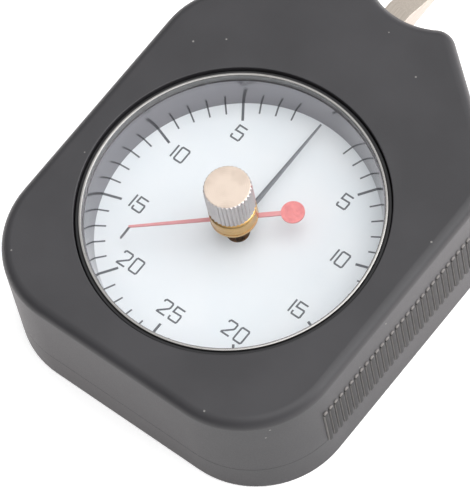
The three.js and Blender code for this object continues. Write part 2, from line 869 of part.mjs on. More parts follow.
// A bent wire of five sides whose rings stand square to its centre line and to +Z
function centringSpring() {
  const line = new CentringLine();
  const stepsPerTurn = 8;
  const coilSteps = line.turns * stepsPerTurn;
  const wireSides = 5;
  const legShare = coilLegLength / line.whole;
  const woundShare = line.wound / line.whole;
  const shares = [0];
  for (let step = 0; step <= coilSteps; step += 1) {
    shares.push(legShare + woundShare * step / coilSteps);
  }
  shares.push(1);
  const rings = shares.map((share) => wireRing(line, share, wireSides));
  const indices = [];
  for (let ring = 0; ring + 1 < rings.length; ring += 1) {
    for (let k = 0; k < wireSides; k += 1) {
      const next = (k + 1) % wireSides;
      const [a, b] = [ring * wireSides + k, ring * wireSides + next];
      const [c, d] = [a + wireSides, b + wireSides];
      indices.push(a, b, d, a, d, c);
    }
  }
  const lastRing = (rings.length - 1) * wireSides;
  for (let k = 1; k + 1 < wireSides; k += 1) {
    indices.push(0, k + 1, k);
    indices.push(lastRing, lastRing + k, lastRing + k + 1);
  }
  const geometry = new THREE.BufferGeometry().setFromPoints(rings.flat());
  geometry.setIndex(indices);
  return solid(geometry);
}

function wireRing(line, share, sides) {
  const centre = line.getPoint(share);
  const along = line.getTangent(share);
  const across = new THREE.Vector3().crossVectors(along, upward).normalize();
  const raised = new THREE.Vector3().crossVectors(across, along).normalize();
  return Array.from({ length: sides }, (_, k) => {
    const angle = k * 2 * Math.PI / sides;
    return centre.clone()
      .addScaledVector(across, coilWireRadius * Math.cos(angle))
      .addScaledVector(raised, coilWireRadius * Math.sin(angle));
  });
}

// Lever

// The bar's side, with Y from the pivot and Z up, runs from a deep root down to a strip
function leverBar() {
  const barTop = barBottom + barHeight;
  const stripTop = barBottom + stripThickness;
  const taperStart = scoopRoom + barTaperRoom;
  const taperEnd = taperStart + (barTop - stripTop) / Math.tan(barTaperAngle);
  const left = barOffset - barWidth / 2;
  const right = barOffset + barWidth / 2;
  const side = polygon([
    [barStart, barBottom],
    [leverLength, barBottom],
    [leverLength, stripTop],
    [taperEnd, stripTop],
    [taperStart, barTop],
    [barStart, barTop],
  ]);
  const tipHalf = leverTipWidth / 2;
  const plan = new THREE.Shape();
  plan.moveTo(left, barStart);
  plan.lineTo(right, barStart);
  plan.lineTo(right, stripNarrowStart);
  plan.lineTo(barOffset + tipHalf, leverLength - tipHalf);
  plan.absarc(barOffset, leverLength - tipHalf, tipHalf, 0, Math.PI, false);
  plan.lineTo(left, stripNarrowStart);
  const bar = crossPrism(side, left, right).intersect(prism(plan, barBottom, barTop));
  return cut(bar, ...leverScrewHoles());
}

function leverScrewHoles() {
  const start = barOffset - barWidth / 2 - overrun;
  const depth = leverScrewReach + overrun + screwTipRoom;
  return leverScrewPlaces().map(([y, z]) => {
    const geometry = new THREE.CylinderGeometry(
      leverScrewRadius + runningGap, leverScrewRadius + runningGap, depth,
      sidesOf(leverScrewRadius));
    geometry.rotateZ(Math.PI / 2);
    geometry.translate(start + depth / 2, y, z);
    return solid(geometry);
  });
}

function leverScrewPlaces() {
  const height = barBottom + barHeight / 2;
  return [0, 1].map((step) => [leverScrewPlace + step * leverScrewPitch, height]);
}

// The hub carries the bar against the left face of its arm
function leverHub() {
  const hubTop = barBottom + barHeight;
  const face = barOffset + barWidth / 2;
  const rebateStart = barStart - hubRebate;
  const armLength = scoopRoom - sideWall - hubArmRoom;
  const rebateWidth = 2 * hubRadius;
  return cut(
    join(
      rod(hubRadius, hubBottom, hubTop),
      block(hubArmWidth, armLength, hubBottom, hubTop, face + hubArmWidth / 2, armLength / 2),
    ),
    block(rebateWidth, rebateWidth, hubBottom - overrun, hubTop + overrun,
      face - rebateWidth / 2, rebateStart + rebateWidth / 2),
    rod(pivotRadius + runningGap, hubBottom - overrun, hubTop + overrun),
    ...leverScrewHoles(),
  );
}

// Pointers

function needle() {
  const rootHalf = needleRootWidth / 2;
  const tipHalf = needleTipWidth / 2;
  const blade = polygon([
    [rootHalf, 0],
    [tipHalf, needleTipRadius],
    [-tipHalf, needleTipRadius],
    [-rootHalf, 0],
  ]);
  return cut(
    join(prism(blade, 0, needleThickness), rod(needleEyeRadius, 0, needleThickness)),
    rod(needleHubNeckRadius + runningGap, -overrun, needleThickness + overrun),
  );
}

function needleHub() {
  const bore = arborRadius + runningGap;
  const top = needleHeight + needleThickness + needleHubRise;
  return turned([
    [bore, needleHeight - needleHubDrop],
    [needleHubRadius, needleHeight - needleHubDrop],
    [needleHubRadius, needleHeight],
    [needleHubNeckRadius, needleHeight],
    [needleHubNeckRadius, top],
    [bore, top],
  ]);
}

// The drag pointer, with its tip along +Y, a disc on its tail and a tab bent down at its
// tip that the needle pushes
function dragPointer() {
  const rootHalf = dragRootWidth / 2;
  const tipHalf = dragTipWidth / 2;
  const tailHalf = dragTailWidth / 2;
  const arm = polygon([
    [rootHalf, 0],
    [tipHalf, dragTipRadius],
    [-tipHalf, dragTipRadius],
    [-rootHalf, 0],
  ]);
  const tail = polygon([
    [-tailHalf, 0],
    [-tailHalf, -dragDiscPlace],
    [tailHalf, -dragDiscPlace],
    [tailHalf, 0],
  ]);
  const disc = rod(dragDiscRadius, dragBottom, dragTop).translate([0, -dragDiscPlace, 0]);
  const tab = polygon([
    [dragTipRadius - tabThickness, dragTop],
    [dragTipRadius - tabThickness, dragBottom],
    [tabReach - tabThickness, tabBottom],
    [tabReach, tabBottom],
    [dragTipRadius, dragTop],
  ]);
  return cut(
    join(
      prism(arm, dragBottom, dragTop),
      prism(tail, dragBottom, dragTop),
      rod(dragHubRadius, dragBottom, dragTop),
      disc,
      crossPrism(tab, -tabWidth / 2, tabWidth / 2),
    ),
    rod(spindleRadius + runningGap, dragBottom - overrun, dragTop + overrun),
  );
}

// A straight-knurled knob with both rims chamfered and a socket for its spindle
function resetKnob() {
  const points = [];
  for (let k = 0; k < 2 * knurlCount; k += 1) {
    const radius = k % 2 ? knobRadius : knobRadius - knurlDepth;
    points.push(onCircle(radius, k * Math.PI / knurlCount));
  }
  const top = knobBottom + knobHeight;
  const rim = turned([
    [0, knobBottom],
    [knobRadius - knobChamfer, knobBottom],
    [knobRadius + overrun, knobBottom + knobChamfer + overrun],
    [knobRadius + overrun, top - knobChamfer - overrun],
    [knobRadius - knobChamfer, top],
    [0, top],
  ]);
  const socket = rod(spindleRadius + runningGap, knobBottom - overrun,
    knobBottom + spindleSocket + spindleSocketRoom);
  return cut(prism(polygon(points), knobBottom, top).intersect(rim), socket);
}

// The gauge

const gauge = new THREE.Group();

addPiece(gauge, 'front_case', looks.casePlastic, frontCase());
addPiece(gauge, 'rear_cover', looks.casePlastic, rearCover());
const caseScrew = slottedScrew(caseScrewRadius, caseScrewReach, caseScrewHeadRadius,
  caseScrewHeadHeight);
postPlaces.forEach(([x, y], index) => {
  const height = caseScrewSink + caseScrewHeadHeight;
  addPiece(gauge, `case_screw_${index + 1}`, looks.darkSteel, caseScrew, [x, y, height]);
});

const windowParts = new THREE.Group();
gauge.add(windowParts);
addPiece(windowParts, 'dial_plate', looks.dialWhite,
  tube(dialHoleRadius, ringRadius, ledgeTop, dialHeight));
addPiece(windowParts, 'reflector_ring', looks.polishedSteel,
  tube(reflectorRadius, ringRadius, dialHeight, crystalBottom));
addPiece(windowParts, 'crystal', looks.clearGlass,
  tube(bushNeckRadius + seatGap, bezelInner - seatGap, crystalBottom, crystalTop));
addPiece(windowParts, 'bezel_ring', looks.polishedSteel, bezelRing());
addPiece(windowParts, 'bezel_gasket', looks.darkRubber,
  tube(gasketInner, ringRadius, crystalBottom, caseDepth - gasketSink));
addPiece(windowParts, 'crystal_bush', looks.brass, crystalBush());
addPiece(windowParts, 'bush_nut', looks.brass, bushNut());

const movement = new THREE.Group();
gauge.add(movement);
addPiece(movement, 'front_plate', looks.brass,
  movementPlate(frontPlateBottom, spigotRadius + runningGap, mountScrewPlaces));
addPiece(movement, 'rear_plate', looks.brass,
  movementPlate(rearPlateHeight, plateScrewRadius + seatGap, []));
const pillarBody = pillar();
const plateScrew = screw(plateScrewRadius, plateScrewReach, plateScrewHeadRadius,
  plateScrewHeadHeight);
pillarPlaces.forEach(([x, y], index) => {
  addPiece(movement, `pillar_${index + 1}`, looks.brushedSteel, pillarBody, [x, y, 0]);
  addPiece(movement, `plate_screw_${index + 1}`, looks.darkSteel, plateScrew,
    [x, y, rearPlateHeight]);
});
const mountScrew = screw(mountScrewRadius, mountScrewReach, mountScrewHeadRadius,
  mountScrewHeadHeight);
mountScrewPlaces.forEach(([x, y], index) => {
  addPiece(movement, `mount_screw_${index + 1}`, looks.darkSteel, mountScrew,
    [x, y, frontPlateBottom]);
});
addPiece(movement, 'arbor_bush_rear', looks.brass, plateBush(arborRadius, rearPlateTop, -1));
addPiece(movement, 'arbor_bush_front', looks.brass, plateBush(arborRadius, frontPlateBottom, 1));
addPiece(movement, 'pivot_bush_rear', looks.brass, plateBush(pivotRadius, rearPlateTop, -1),
  [0, pivotY, 0]);
addPiece(movement, 'pivot_bush_front', looks.brass, plateBush(pivotRadius, frontPlateBottom, 1),
  [0, pivotY, 0]);
const stopAngle = leverSwing + stopPinAngle();
for (const [name, side] of [['stop_pin_left', -1], ['stop_pin_right', 1]]) {
  const x = side * stopPinPlace * Math.sin(stopAngle);
  const y = pivotY - stopPinPlace * Math.cos(stopAngle);
  addPiece(movement, name, looks.brushedSteel,
    rod(stopPinRadius, rearPlateTop, sectorTop + stopPinProud), [x, y, 0]);
}
addPiece(movement, 'hairspring', looks.springSteel, hairspring());
addPiece(movement, 'hairspring_stud', looks.brass,
  rod(studRadius, hairspringBottom, frontPlateBottom),
  [hairspringOuter + hairspringThickness / 2 + springTouchGap + studRadius, 0, 0]);
addPiece(movement, 'centring_spring', looks.springSteel, centringSpring(), [0, pivotY, coilBottom]);
addPiece(movement, 'spring_post', looks.brushedSteel,
  rod(springPinRadius, coilBottom - springPinMargin / 2, frontPlateBottom),
  [0, pivotY - springPostPlace, 0]);

const lever = new THREE.Group();
lever.position.y = pivotY;
gauge.add(lever);
addPiece(lever, 'lever_bar', looks.brushedSteel, leverBar());
addPiece(lever, 'lever_hub', looks.brushedSteel, leverHub());
const leverScrew = screw(leverScrewRadius, leverScrewReach, leverScrewHeadRadius,
  leverScrewHeadHeight);
leverScrewPlaces().forEach(([y, z], index) => {
  const place = [barOffset - barWidth / 2, y, z];
  const mesh = addPiece(lever, `lever_screw_${index + 1}`, looks.darkSteel, leverScrew, place);
  mesh.rotation.y = Math.PI / 2;
});
addPiece(lever, 'pivot_shaft', looks.brushedSteel,
  rod(pivotRadius, rearPlateHeight - pivotTail, barBottom + barHeight));
addPiece(lever, 'sector_gear', looks.brass, sectorGear(), [0, 0, sectorBottom]);
addPiece(lever, 'drive_pin', looks.brushedSteel,
  rod(springPinRadius, sectorTop, coilTop + springPinMargin),
  [0, -drivePinPlace, 0]);

const pointer = new THREE.Group();
gauge.add(pointer);
addPiece(pointer, 'pointer_arbor', looks.brushedSteel, rod(arborRadius,
  rearPlateHeight - arborTail, needleHeight + needleThickness + needleHubRise));
addPiece(pointer, 'pinion', looks.brass, pinion());
addPiece(pointer, 'hairspring_collet', looks.brass, tube(arborRadius + runningGap, colletRadius,
  hairspringBottom - colletMargin, hairspringBottom + hairspringHeight + colletMargin));
addPiece(pointer, 'needle_hub', looks.blackPaint, needleHub());
addPiece(pointer, 'needle', looks.blackPaint, needle(), [0, 0, needleHeight]);

const dragParts = new THREE.Group();
dragParts.rotation.z = dragRestAngle;
gauge.add(dragParts);
addPiece(dragParts, 'reset_knob', looks.nickel, resetKnob());
addPiece(dragParts, 'reset_spindle', looks.brushedSteel,
  rod(spindleRadius, washerBottom - spindleTail, knobBottom + spindleSocket));
addPiece(dragParts, 'red_pointer', looks.redPaint, dragPointer());
addPiece(dragParts, 'pointer_washer', looks.brass,
  tube(spindleRadius + runningGap, washerRadius, washerBottom, washerBottom + washerThickness));

export default gauge;
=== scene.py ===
import math

import bmesh
import bpy
from mathutils import Matrix, Vector


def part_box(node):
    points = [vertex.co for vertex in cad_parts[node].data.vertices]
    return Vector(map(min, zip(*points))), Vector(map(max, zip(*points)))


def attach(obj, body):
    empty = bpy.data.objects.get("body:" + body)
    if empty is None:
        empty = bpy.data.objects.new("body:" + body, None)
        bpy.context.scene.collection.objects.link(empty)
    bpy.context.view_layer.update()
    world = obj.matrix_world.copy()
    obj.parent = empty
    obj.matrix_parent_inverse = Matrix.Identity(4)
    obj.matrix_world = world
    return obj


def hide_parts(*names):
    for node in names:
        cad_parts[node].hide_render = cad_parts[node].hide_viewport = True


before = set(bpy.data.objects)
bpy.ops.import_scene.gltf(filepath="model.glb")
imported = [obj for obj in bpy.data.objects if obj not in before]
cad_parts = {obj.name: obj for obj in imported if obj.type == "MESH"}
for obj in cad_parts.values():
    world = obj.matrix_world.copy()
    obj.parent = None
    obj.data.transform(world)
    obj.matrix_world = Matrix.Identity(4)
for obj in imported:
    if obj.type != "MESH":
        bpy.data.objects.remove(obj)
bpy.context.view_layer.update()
mm = 0.001
print("frame loaded")


def span(node):
    # A CAD node's lowest and highest corner in millimetres
    low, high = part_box(node)
    return low / mm, high / mm


def bottomOf(node):
    return span(node)[0].z


def topOf(node):
    return span(node)[1].z


def radiusOf(node):
    # Round nodes stand about the dial's axis with a corner on it
    return span(node)[1].x


def numbered(name, count=4):
    return [f"{name}_{k}" for k in range(1, count + 1)]


# Camera and key light

cameraSet = {
    "photoHeight": 488,
    "focalPixels": 5239,
    "sensor": 36,
    "place": (0.2929, -0.2429, 0.7437),
    "right": (0.7814, 0.6142, -0.1100),
    "up": (-0.5128, 0.7326, 0.4476),
    "clipEnd": 20,
}
keySet = {"power": 3.6, "size": 0.8, "place": (0.22, 0.18, 0.78)}


def placed(name, data):
    # A new object in the scene
    made = bpy.data.objects.new(name, data)
    bpy.context.scene.collection.objects.link(made)
    return made


def makeCamera():
    have = cameraSet
    data = bpy.data.cameras.new("photoCamera")
    data.sensor_width = have["sensor"]
    data.lens = have["focalPixels"] / have["photoHeight"] * have["sensor"]
    data.clip_end = have["clipEnd"]
    camera = placed("photoCamera", data)
    right = Vector(have["right"]).normalized()
    back = right.cross(Vector(have["up"])).normalized()
    turn = Matrix((right, back.cross(right), back)).transposed()
    camera.rotation_mode = "QUATERNION"
    camera.rotation_quaternion = turn.to_quaternion()
    camera.location = have["place"]
    bpy.context.scene.camera = camera


def makeKeyLight():
    # A soft square light that looks at the gauge
    data = bpy.data.lights.new("keyLight", "AREA")
    data.size = keySet["size"]
    data.energy = keySet["power"]
    light = placed("keyLight", data)
    light.location = keySet["place"]
    light.visible_camera = False
    light.rotation_euler = (-Vector(keySet["place"])).to_track_quat("-Z", "Y").to_euler()


makeCamera()
makeKeyLight()
bpy.context.scene.view_settings.view_transform = "Standard"
print("camera and key light set")


# Node trees

class Wire:
    # A socket in a tree. Sums on wires add Math nodes to it.
    def __init__(self, graph, socket):
        self.graph = graph
        self.socket = socket

    def maths(self, operation, first, second):
        return self.graph.node("ShaderNodeMath", {"operation": operation}, {0: first, 1: second})

    def __add__(self, other):
        return self.maths("ADD", self, other)

    def __radd__(self, other):
        return self.maths("ADD", other, self)

    def __sub__(self, other):
        return self.maths("SUBTRACT", self, other)

    def __rsub__(self, other):
        return self.maths("SUBTRACT", other, self)

    def __mul__(self, other):
        return self.maths("MULTIPLY", self, other)

    def __rmul__(self, other):
        return self.maths("MULTIPLY", other, self)

    def __truediv__(self, other):
        return self.maths("DIVIDE", self, other)

    def __mod__(self, other):
        return self.maths("MODULO", self, other)

    def __lt__(self, other):
        return self.maths("LESS_THAN", self, other)

    def __gt__(self, other):
        return self.maths("GREATER_THAN", self, other)


class Graph:
    # Any node tree, with the one way that nodes are added to it
    def __init__(self, tree):
        self.tree = tree

    def node(self, kind, settings, sockets, output=0):
        made = self.tree.nodes.new(kind)
        for name, value in settings.items():
            if name == "stops":
                self.setStops(made.color_ramp.elements, value)
            else:
                setattr(made, name, value)
        for name, value in sockets.items():
            if isinstance(value, Wire):
                self.tree.links.new(value.socket, made.inputs[name])
            else:
                made.inputs[name].default_value = value
        if made.outputs:
            return Wire(self, made.outputs[output])

    def setStops(self, elements, stops):
        # A ramp starts with two stops, as many as any ramp here has
        for element, (place, level) in zip(elements, stops):
            element.position = place
            element.color = (level, level, level, 1)

    def mapped(self, value, start, end, low=0, high=1):
        # From low to high while the value goes from start to end
        return self.node("ShaderNodeMapRange", {}, {
            "Value": value,
            "From Min": start,
            "From Max": end,
            "To Min": low,
            "To Max": high,
        })

    def along(self, place, side):
        # How far the place lies to that side
        return self.node("ShaderNodeVectorMath", {"operation": "DOT_PRODUCT"}, {
            0: place,
            1: side,
        }, "Value")


def colour(red, green, blue):
    # From the 0 to 255 of a picture to the light values that sockets take
    def toLinear(value):
        share = value / 255
        return share / 12.92 if share <= 0.04045 else ((share + 0.055) / 1.055) ** 2.4
    return (toLinear(red), toLinear(green), toLinear(blue), 1)


waveLength = 0.3  # at scale 1 a ring pattern repeats after about this many metres


class Finish(Graph):
    # A material whose pattern lies on Object coordinates
    def __init__(self, name):
        self.material = bpy.data.materials.new(name)
        self.material.use_nodes = True
        super().__init__(self.material.node_tree)
        self.tree.nodes.clear()
        self.place = self.node("ShaderNodeTexCoord", {}, {}, "Object")

    def noise(self, grain, detail=3.0):
        # Grain is the pattern's size in millimetres
        return self.node("ShaderNodeTexNoise", {}, {
            "Vector": self.place,
            "Scale": 1 / (grain * mm),
            "Detail": detail,
        })

    def clouds(self, grain, edges, detail=3.0):
        # Noise with the edges of its clouds drawn together
        return self.node("ShaderNodeValToRGB", {"stops": [(edges[0], 0), (edges[1], 1)]}, {
            "Fac": self.noise(grain, detail),
        })

    def streaks(self, lengths, detail):
        # Noise drawn out by a length in millimetres on each axis
        place = self.node("ShaderNodeMapping", {}, {
            "Vector": self.place,
            "Scale": [1 / (length * mm) for length in lengths],
        })
        return self.node("ShaderNodeTexNoise", {}, {
            "Vector": place,
            "Scale": 1.0,
            "Detail": detail,
        })

    def latheMarks(self, pitch, distortion, detail):
        # Rings about the dial's axis
        return self.node("ShaderNodeTexWave", {"wave_type": "RINGS", "rings_direction": "Z"}, {
            "Vector": self.place,
            "Scale": waveLength / (pitch * mm),
            "Distortion": distortion,
            "Detail": detail,
        }, "Fac")

    def axis(self, name):
        # One coordinate of the place, in millimetres
        return self.node("ShaderNodeSeparateXYZ", {}, {"Vector": self.place}, name) / mm

    def blend(self, factor, first, second):
        # Two tones, each given as the 0 to 255 of a picture or as a wire
        tones = [tone if isinstance(tone, Wire) else colour(*tone) for tone in (first, second)]
        return self.node("ShaderNodeMix", {"data_type": "RGBA"}, {
            "Factor": factor,
            6: tones[0],
            7: tones[1],
        }, 2)

    def spread(self, limits, share):
        # A number that goes from the first limit to the second
        return limits[0] + share * (limits[1] - limits[0])

    def bump(self, height, depth):
        # Depth is the pattern's height in millimetres
        return self.node("ShaderNodeBump", {}, {"Height": height, "Distance": depth * mm})

    def principled(self, sockets):
        return self.node("ShaderNodeBsdfPrincipled", {}, sockets)

    def show(self, shader):
        self.node("ShaderNodeOutputMaterial", {}, {"Surface": shader})
        return self.material


# Finishes

casePlasticSet = {
    "dark": (40, 39, 42),
    "light": (48, 47, 50),
    "mottle": 14,
    "mottleEdges": (0.35, 0.65),
    "texture": 0.22,
    "textureDetail": 2.0,
    "textureDepth": 0.012,
    "roughness": (0.38, 0.54),
    "ior": 1.5,
    "speck": (120, 118, 116),
    "speckSpacing": 3.6,
    "speckRadius": 0.17,
    "cleanShare": 0.45,
}


def casePlastic():
    # Spark-textured moulding with a little dust on it
    have = casePlasticSet
    finish = Finish("casePlastic")
    dust = {"Vector": finish.place, "Scale": 1 / (have["speckSpacing"] * mm)}
    near = finish.node("ShaderNodeTexVoronoi", {}, dust, "Distance")
    chance = finish.node("ShaderNodeTexVoronoi", {}, dust, "Color")
    specks = (near < have["speckRadius"] / have["speckSpacing"]) * (chance > have["cleanShare"])
    mottle = finish.clouds(have["mottle"], have["mottleEdges"])
    body = finish.blend(mottle, have["dark"], have["light"])
    grain = finish.noise(have["texture"], have["textureDetail"])
    return finish.show(finish.principled({
        "Base Color": finish.blend(specks, body, have["speck"]),
        "Roughness": finish.spread(have["roughness"], grain),
        "IOR": have["ior"],
        "Normal": finish.bump(grain, have["textureDepth"]),
    }))


dialPaintSet = {
    "base": (236, 240, 242),
    "tint": (241, 243, 244),
    "mottle": 9,
    "mottleEdges": (0.3, 0.7),
    "roughness": (0.6, 0.66),
    "orangePeel": 1.2,
    "peelDepth": 0.002,
}


def dialPaint():
    have = dialPaintSet
    finish = Finish("dialPaint")
    cloud = finish.clouds(have["mottle"], have["mottleEdges"])
    return finish.show(finish.principled({
        "Base Color": finish.blend(cloud, have["base"], have["tint"]),
        "Roughness": finish.spread(have["roughness"], cloud),
        "Normal": finish.bump(finish.noise(have["orangePeel"]), have["peelDepth"]),
    }))


def mottled(name, base, other, grain, roughness, depth=0, metallic=0.0, share=1.0):
    # Two tones in soft clouds, with a roughness that follows them
    finish = Finish(name)
    cloud = finish.noise(grain)
    sockets = {
        "Base Color": finish.blend(cloud * share, base, other),
        "Metallic": metallic,
        "Roughness": finish.spread(roughness, cloud),
    }
    if depth:
        sockets["Normal"] = finish.bump(cloud, depth)
    return finish.show(finish.principled(sockets))


plainMetalSet = {"darkening": 0.75, "darkShare": 0.4, "roughnessSpread": 0.15}


def plainMetal(name, base, roughness, grain=0.6, depth=0.002):
    # Tumbled or drawn metal for small inner pieces
    have = plainMetalSet
    dark = [have["darkening"] * value for value in base]
    limits = (roughness, roughness + have["roughnessSpread"])
    return mottled(name, base, dark, grain, limits, depth, 1.0, have["darkShare"])


turnedMetalSet = {
    "darkening": 0.82,
    "darkShare": 0.35,
    "grain": 2.2,
    "distortion": 1.5,
    "detail": 3.0,
}


def turnedMetal(name, base, roughness, pitch, depth, spread=0.08):
    # A metal with fine lathe marks and a little unevenness
    have = turnedMetalSet
    finish = Finish(name)
    marks = finish.latheMarks(pitch, have["distortion"], have["detail"])
    uneven = finish.noise(have["grain"])
    dark = [have["darkening"] * value for value in base]
    return finish.show(finish.principled({
        "Base Color": finish.blend(uneven * have["darkShare"], base, dark),
        "Metallic": 1.0,
        "Roughness": finish.spread((roughness, roughness + spread), uneven),
        "Normal": finish.bump(marks, depth),
    }))


leverSteelSet = {
    "base": (200, 191, 181),
    "streak": (158, 148, 138),
    "streakLengths": (0.12, 4, 0.12),
    "streakDetail": 4.0,
    "streakDepth": 0.004,
    "roughness": (0.3, 0.48),
}


def leverSteel():
    # Nickel-plated strip, brushed along its length
    have = leverSteelSet
    finish = Finish("leverSteel")
    streaks = finish.streaks(have["streakLengths"], have["streakDetail"])
    return finish.show(finish.principled({
        "Base Color": finish.blend(streaks, have["base"], have["streak"]),
        "Metallic": 1.0,
        "Roughness": finish.spread(have["roughness"], streaks),
        "Normal": finish.bump(streaks, have["streakDepth"]),
    }))


knobNickelSet = {
    "cap": (217, 202, 189),
    "capMark": (176, 158, 144),
    "capEdge": 0.1,
    "knurl": (196, 190, 189),
    "markPitch": 0.3,
    "markDistortion": 2.0,
    "markDetail": 2.0,
    "markDepth": 0.006,
    "markShare": 0.15,
    "stain": 2.6,
    "stainDetail": 2.0,
    "stainEdges": (0.45, 0.7),
    "stainShare": 0.35,
    "smudge": 1.6,
    "roughness": (0.3, 0.42),
    "capRoughness": 0.1,
}


def knobNickel():
    # The turned cap is creamier than the knurled side
    have = knobNickelSet
    finish = Finish("knobNickel")
    cap = finish.axis("Z") > topOf("reset_knob") - have["capEdge"]
    marks = finish.latheMarks(have["markPitch"], have["markDistortion"], have["markDetail"])
    smudge = finish.noise(have["smudge"])
    stain = finish.clouds(have["stain"], have["stainEdges"], have["stainDetail"])
    worn = stain * have["stainShare"] + marks * have["markShare"]
    capTone = finish.blend(worn, have["cap"], have["capMark"])
    return finish.show(finish.principled({
        "Base Color": finish.blend(cap, have["knurl"], capTone),
        "Metallic": 1.0,
        "Roughness": finish.spread(have["roughness"], smudge) + cap * have["capRoughness"],
        "Normal": finish.bump(marks * cap, have["markDepth"]),
    }))


redPaintSet = {
    "base": (238, 142, 139),
    "deep": (222, 124, 125),
    "arm": (222, 148, 149),
    "armEnd": 7.3,
    "discTurn": math.radians(40.5),
    "mottle": 0.8,
    "mottleEdges": (0.35, 0.65),
    "mottleDepth": 0.004,
    "roughness": (0.35, 0.45),
}


def redPaint():
    # The paint lies thinner on the arm than on the disc
    have = redPaintSet
    finish = Finish("redPaint")
    cloud = finish.clouds(have["mottle"], have["mottleEdges"])
    outwards = (finish.axis("X") * math.cos(have["discTurn"])
                + finish.axis("Y") * math.sin(have["discTurn"]))
    disc = finish.blend(cloud, have["base"], have["deep"])
    return finish.show(finish.principled({
        "Base Color": finish.blend(outwards < have["armEnd"], disc, have["arm"]),
        "Roughness": finish.spread(have["roughness"], cloud),
        "Normal": finish.bump(cloud, have["mottleDepth"]),
    }))


crystalSet = {
    "ior": 1.45,
    "glossShare": 0.55,
    "smear": 18,
    "smearEdges": (0.5, 0.8),
    "smearShare": 0.03,
    "clear": (0.985, 0.99, 0.995, 1),
    "mirror": (0.9, 0.92, 0.95, 1),
    "roughness": 0.03,
}


def clearCrystal():
    # Clear, with a reflection that grows to the sides and a faint smear
    have = crystalSet
    finish = Finish("clearCrystal")
    gloss = finish.node("ShaderNodeFresnel", {}, {"IOR": have["ior"]})
    smear = finish.clouds(have["smear"], have["smearEdges"])
    clear = finish.node("ShaderNodeBsdfTransparent", {}, {"Color": have["clear"]})
    mirror = finish.principled({
        "Base Color": have["mirror"],
        "Metallic": 1.0,
        "Roughness": have["roughness"],
    })
    return finish.show(finish.node("ShaderNodeMixShader", {}, {
        0: gloss * have["glossShare"] + smear * have["smearShare"],
        1: clear,
        2: mirror,
    }))


finishes = {
    "case": casePlastic(),
    "dial": dialPaint(),
    "ink": mottled("printInk", (86, 88, 92), (104, 106, 110), grain=0.5, roughness=(0.6, 0.6)),
    "bezel": turnedMetal("bezelSteel", (166, 164, 162), roughness=0.18, pitch=0.3, depth=0.002),
    "liner": turnedMetal("boreSteel", (128, 127, 126), roughness=0.3, pitch=0.5, depth=0.001),
    "reflector": turnedMetal("reflectorSteel", (150, 147, 151), roughness=0.12, pitch=0.5,
                             depth=0.0006, spread=0.03),
    "gasket": mottled("gasketRubber", (24, 24, 26), (38, 38, 40), grain=0.5,
                      roughness=(0.55, 0.75), depth=0.006),
    "crystal": clearCrystal(),
    "brass": turnedMetal("turnedBrass", (204, 166, 110), roughness=0.2, pitch=0.18, depth=0.003),
    # Movement brass, its tone darkened as painted shade, since the movement lies in the shadow of
    # the knob and bush
    "plateBrass": plainMetal("plateBrass", (138, 98, 70), roughness=0.42),
    "knob": knobNickel(),
    "red": redPaint(),
    "needle": mottled("needlePaint", (104, 106, 110), (118, 120, 124), grain=1.1,
                      roughness=(0.3, 0.42)),
    "tab": plainMetal("tabSteel", (150, 148, 150), roughness=0.35),
    "lever": leverSteel(),
    "shaft": plainMetal("shaftSteel", (176, 174, 170), roughness=0.28),
    "screw": plainMetal("screwSteel", (92, 94, 98), roughness=0.34, grain=0.4),
    "spring": plainMetal("springSteel", (146, 150, 158), roughness=0.26, grain=0.3),
}
print("finishes made")


# Mesh tools. Sizes are in millimetres until a piece is made.

overrun = 1  # how far a cut runs past what it cuts
bevelSteps = 3
mergeDistance = 1e-5


def plainMesh(form):
    mesh = bpy.data.meshes.new("form")
    form.to_mesh(mesh)
    form.free()
    return mesh


def meshFrom(form):
    # A mesh from a bmesh, with its normals set outwards
    bmesh.ops.recalc_face_normals(form, faces=form.faces)
    return plainMesh(form)


def lathe(profile, sides=192):
    # Turned about Z. The profile is closed, with points as (radius, height).
    form = bmesh.new()
    rings = []
    for radius, height in profile:
        if radius == 0:
            rings.append([form.verts.new((0, 0, height))] * sides)
        else:
            angles = [2 * math.pi * k / sides for k in range(sides)]
            rings.append([form.verts.new((radius * math.cos(a), radius * math.sin(a), height))
                          for a in angles])
    for low, high in zip(rings, rings[1:] + rings[:1]):
        for k in range(sides):
            after = (k + 1) % sides
            corners = []
            for corner in (low[k], low[after], high[after], high[k]):
                if corner not in corners:
                    corners.append(corner)
            if len(corners) > 2:
                form.faces.new(corners)
    return meshFrom(form)


def loft(rings):
    # A closed skin through rings of points, with both ends capped
    form = bmesh.new()
    made = [[form.verts.new(point) for point in ring] for ring in rings]
    for low, high in zip(made, made[1:]):
        for k in range(len(low)):
            after = (k + 1) % len(low)
            form.faces.new((low[k], low[after], high[after], high[k]))
    form.faces.new(made[0])
    form.faces.new(made[-1])
    return meshFrom(form)


def prism(outline, bottom, top):
    return loft([[(x, y, height) for x, y in outline] for height in (bottom, top)])


def roundCorners(corners, steps):
    # Corners are (x, y, radius), and a radius of zero leaves one sharp
    points = []
    for index, (x, y, radius) in enumerate(corners):
        corner = Vector((x, y))
        if not radius:
            points.append(tuple(corner))
            continue
        before = (Vector(corners[index - 1][:2]) - corner).normalized()
        after = (Vector(corners[(index + 1) % len(corners)][:2]) - corner).normalized()
        half = before.angle(after) / 2
        centre = corner + (before + after).normalized() * radius / math.sin(half)
        first = corner + before * radius / math.tan(half) - centre
        last = corner + after * radius / math.tan(half) - centre
        turn = -first.angle_signed(last)
        for step in range(steps + 1):
            spoke = first.copy()
            spoke.rotate(Matrix.Rotation(turn * step / steps, 2))
            points.append(tuple(centre + spoke))
    return points


def circle(radius, x=0, y=0, sides=96):
    return [(x + radius * math.cos(2 * math.pi * k / sides),
             y + radius * math.sin(2 * math.pi * k / sides)) for k in range(sides)]


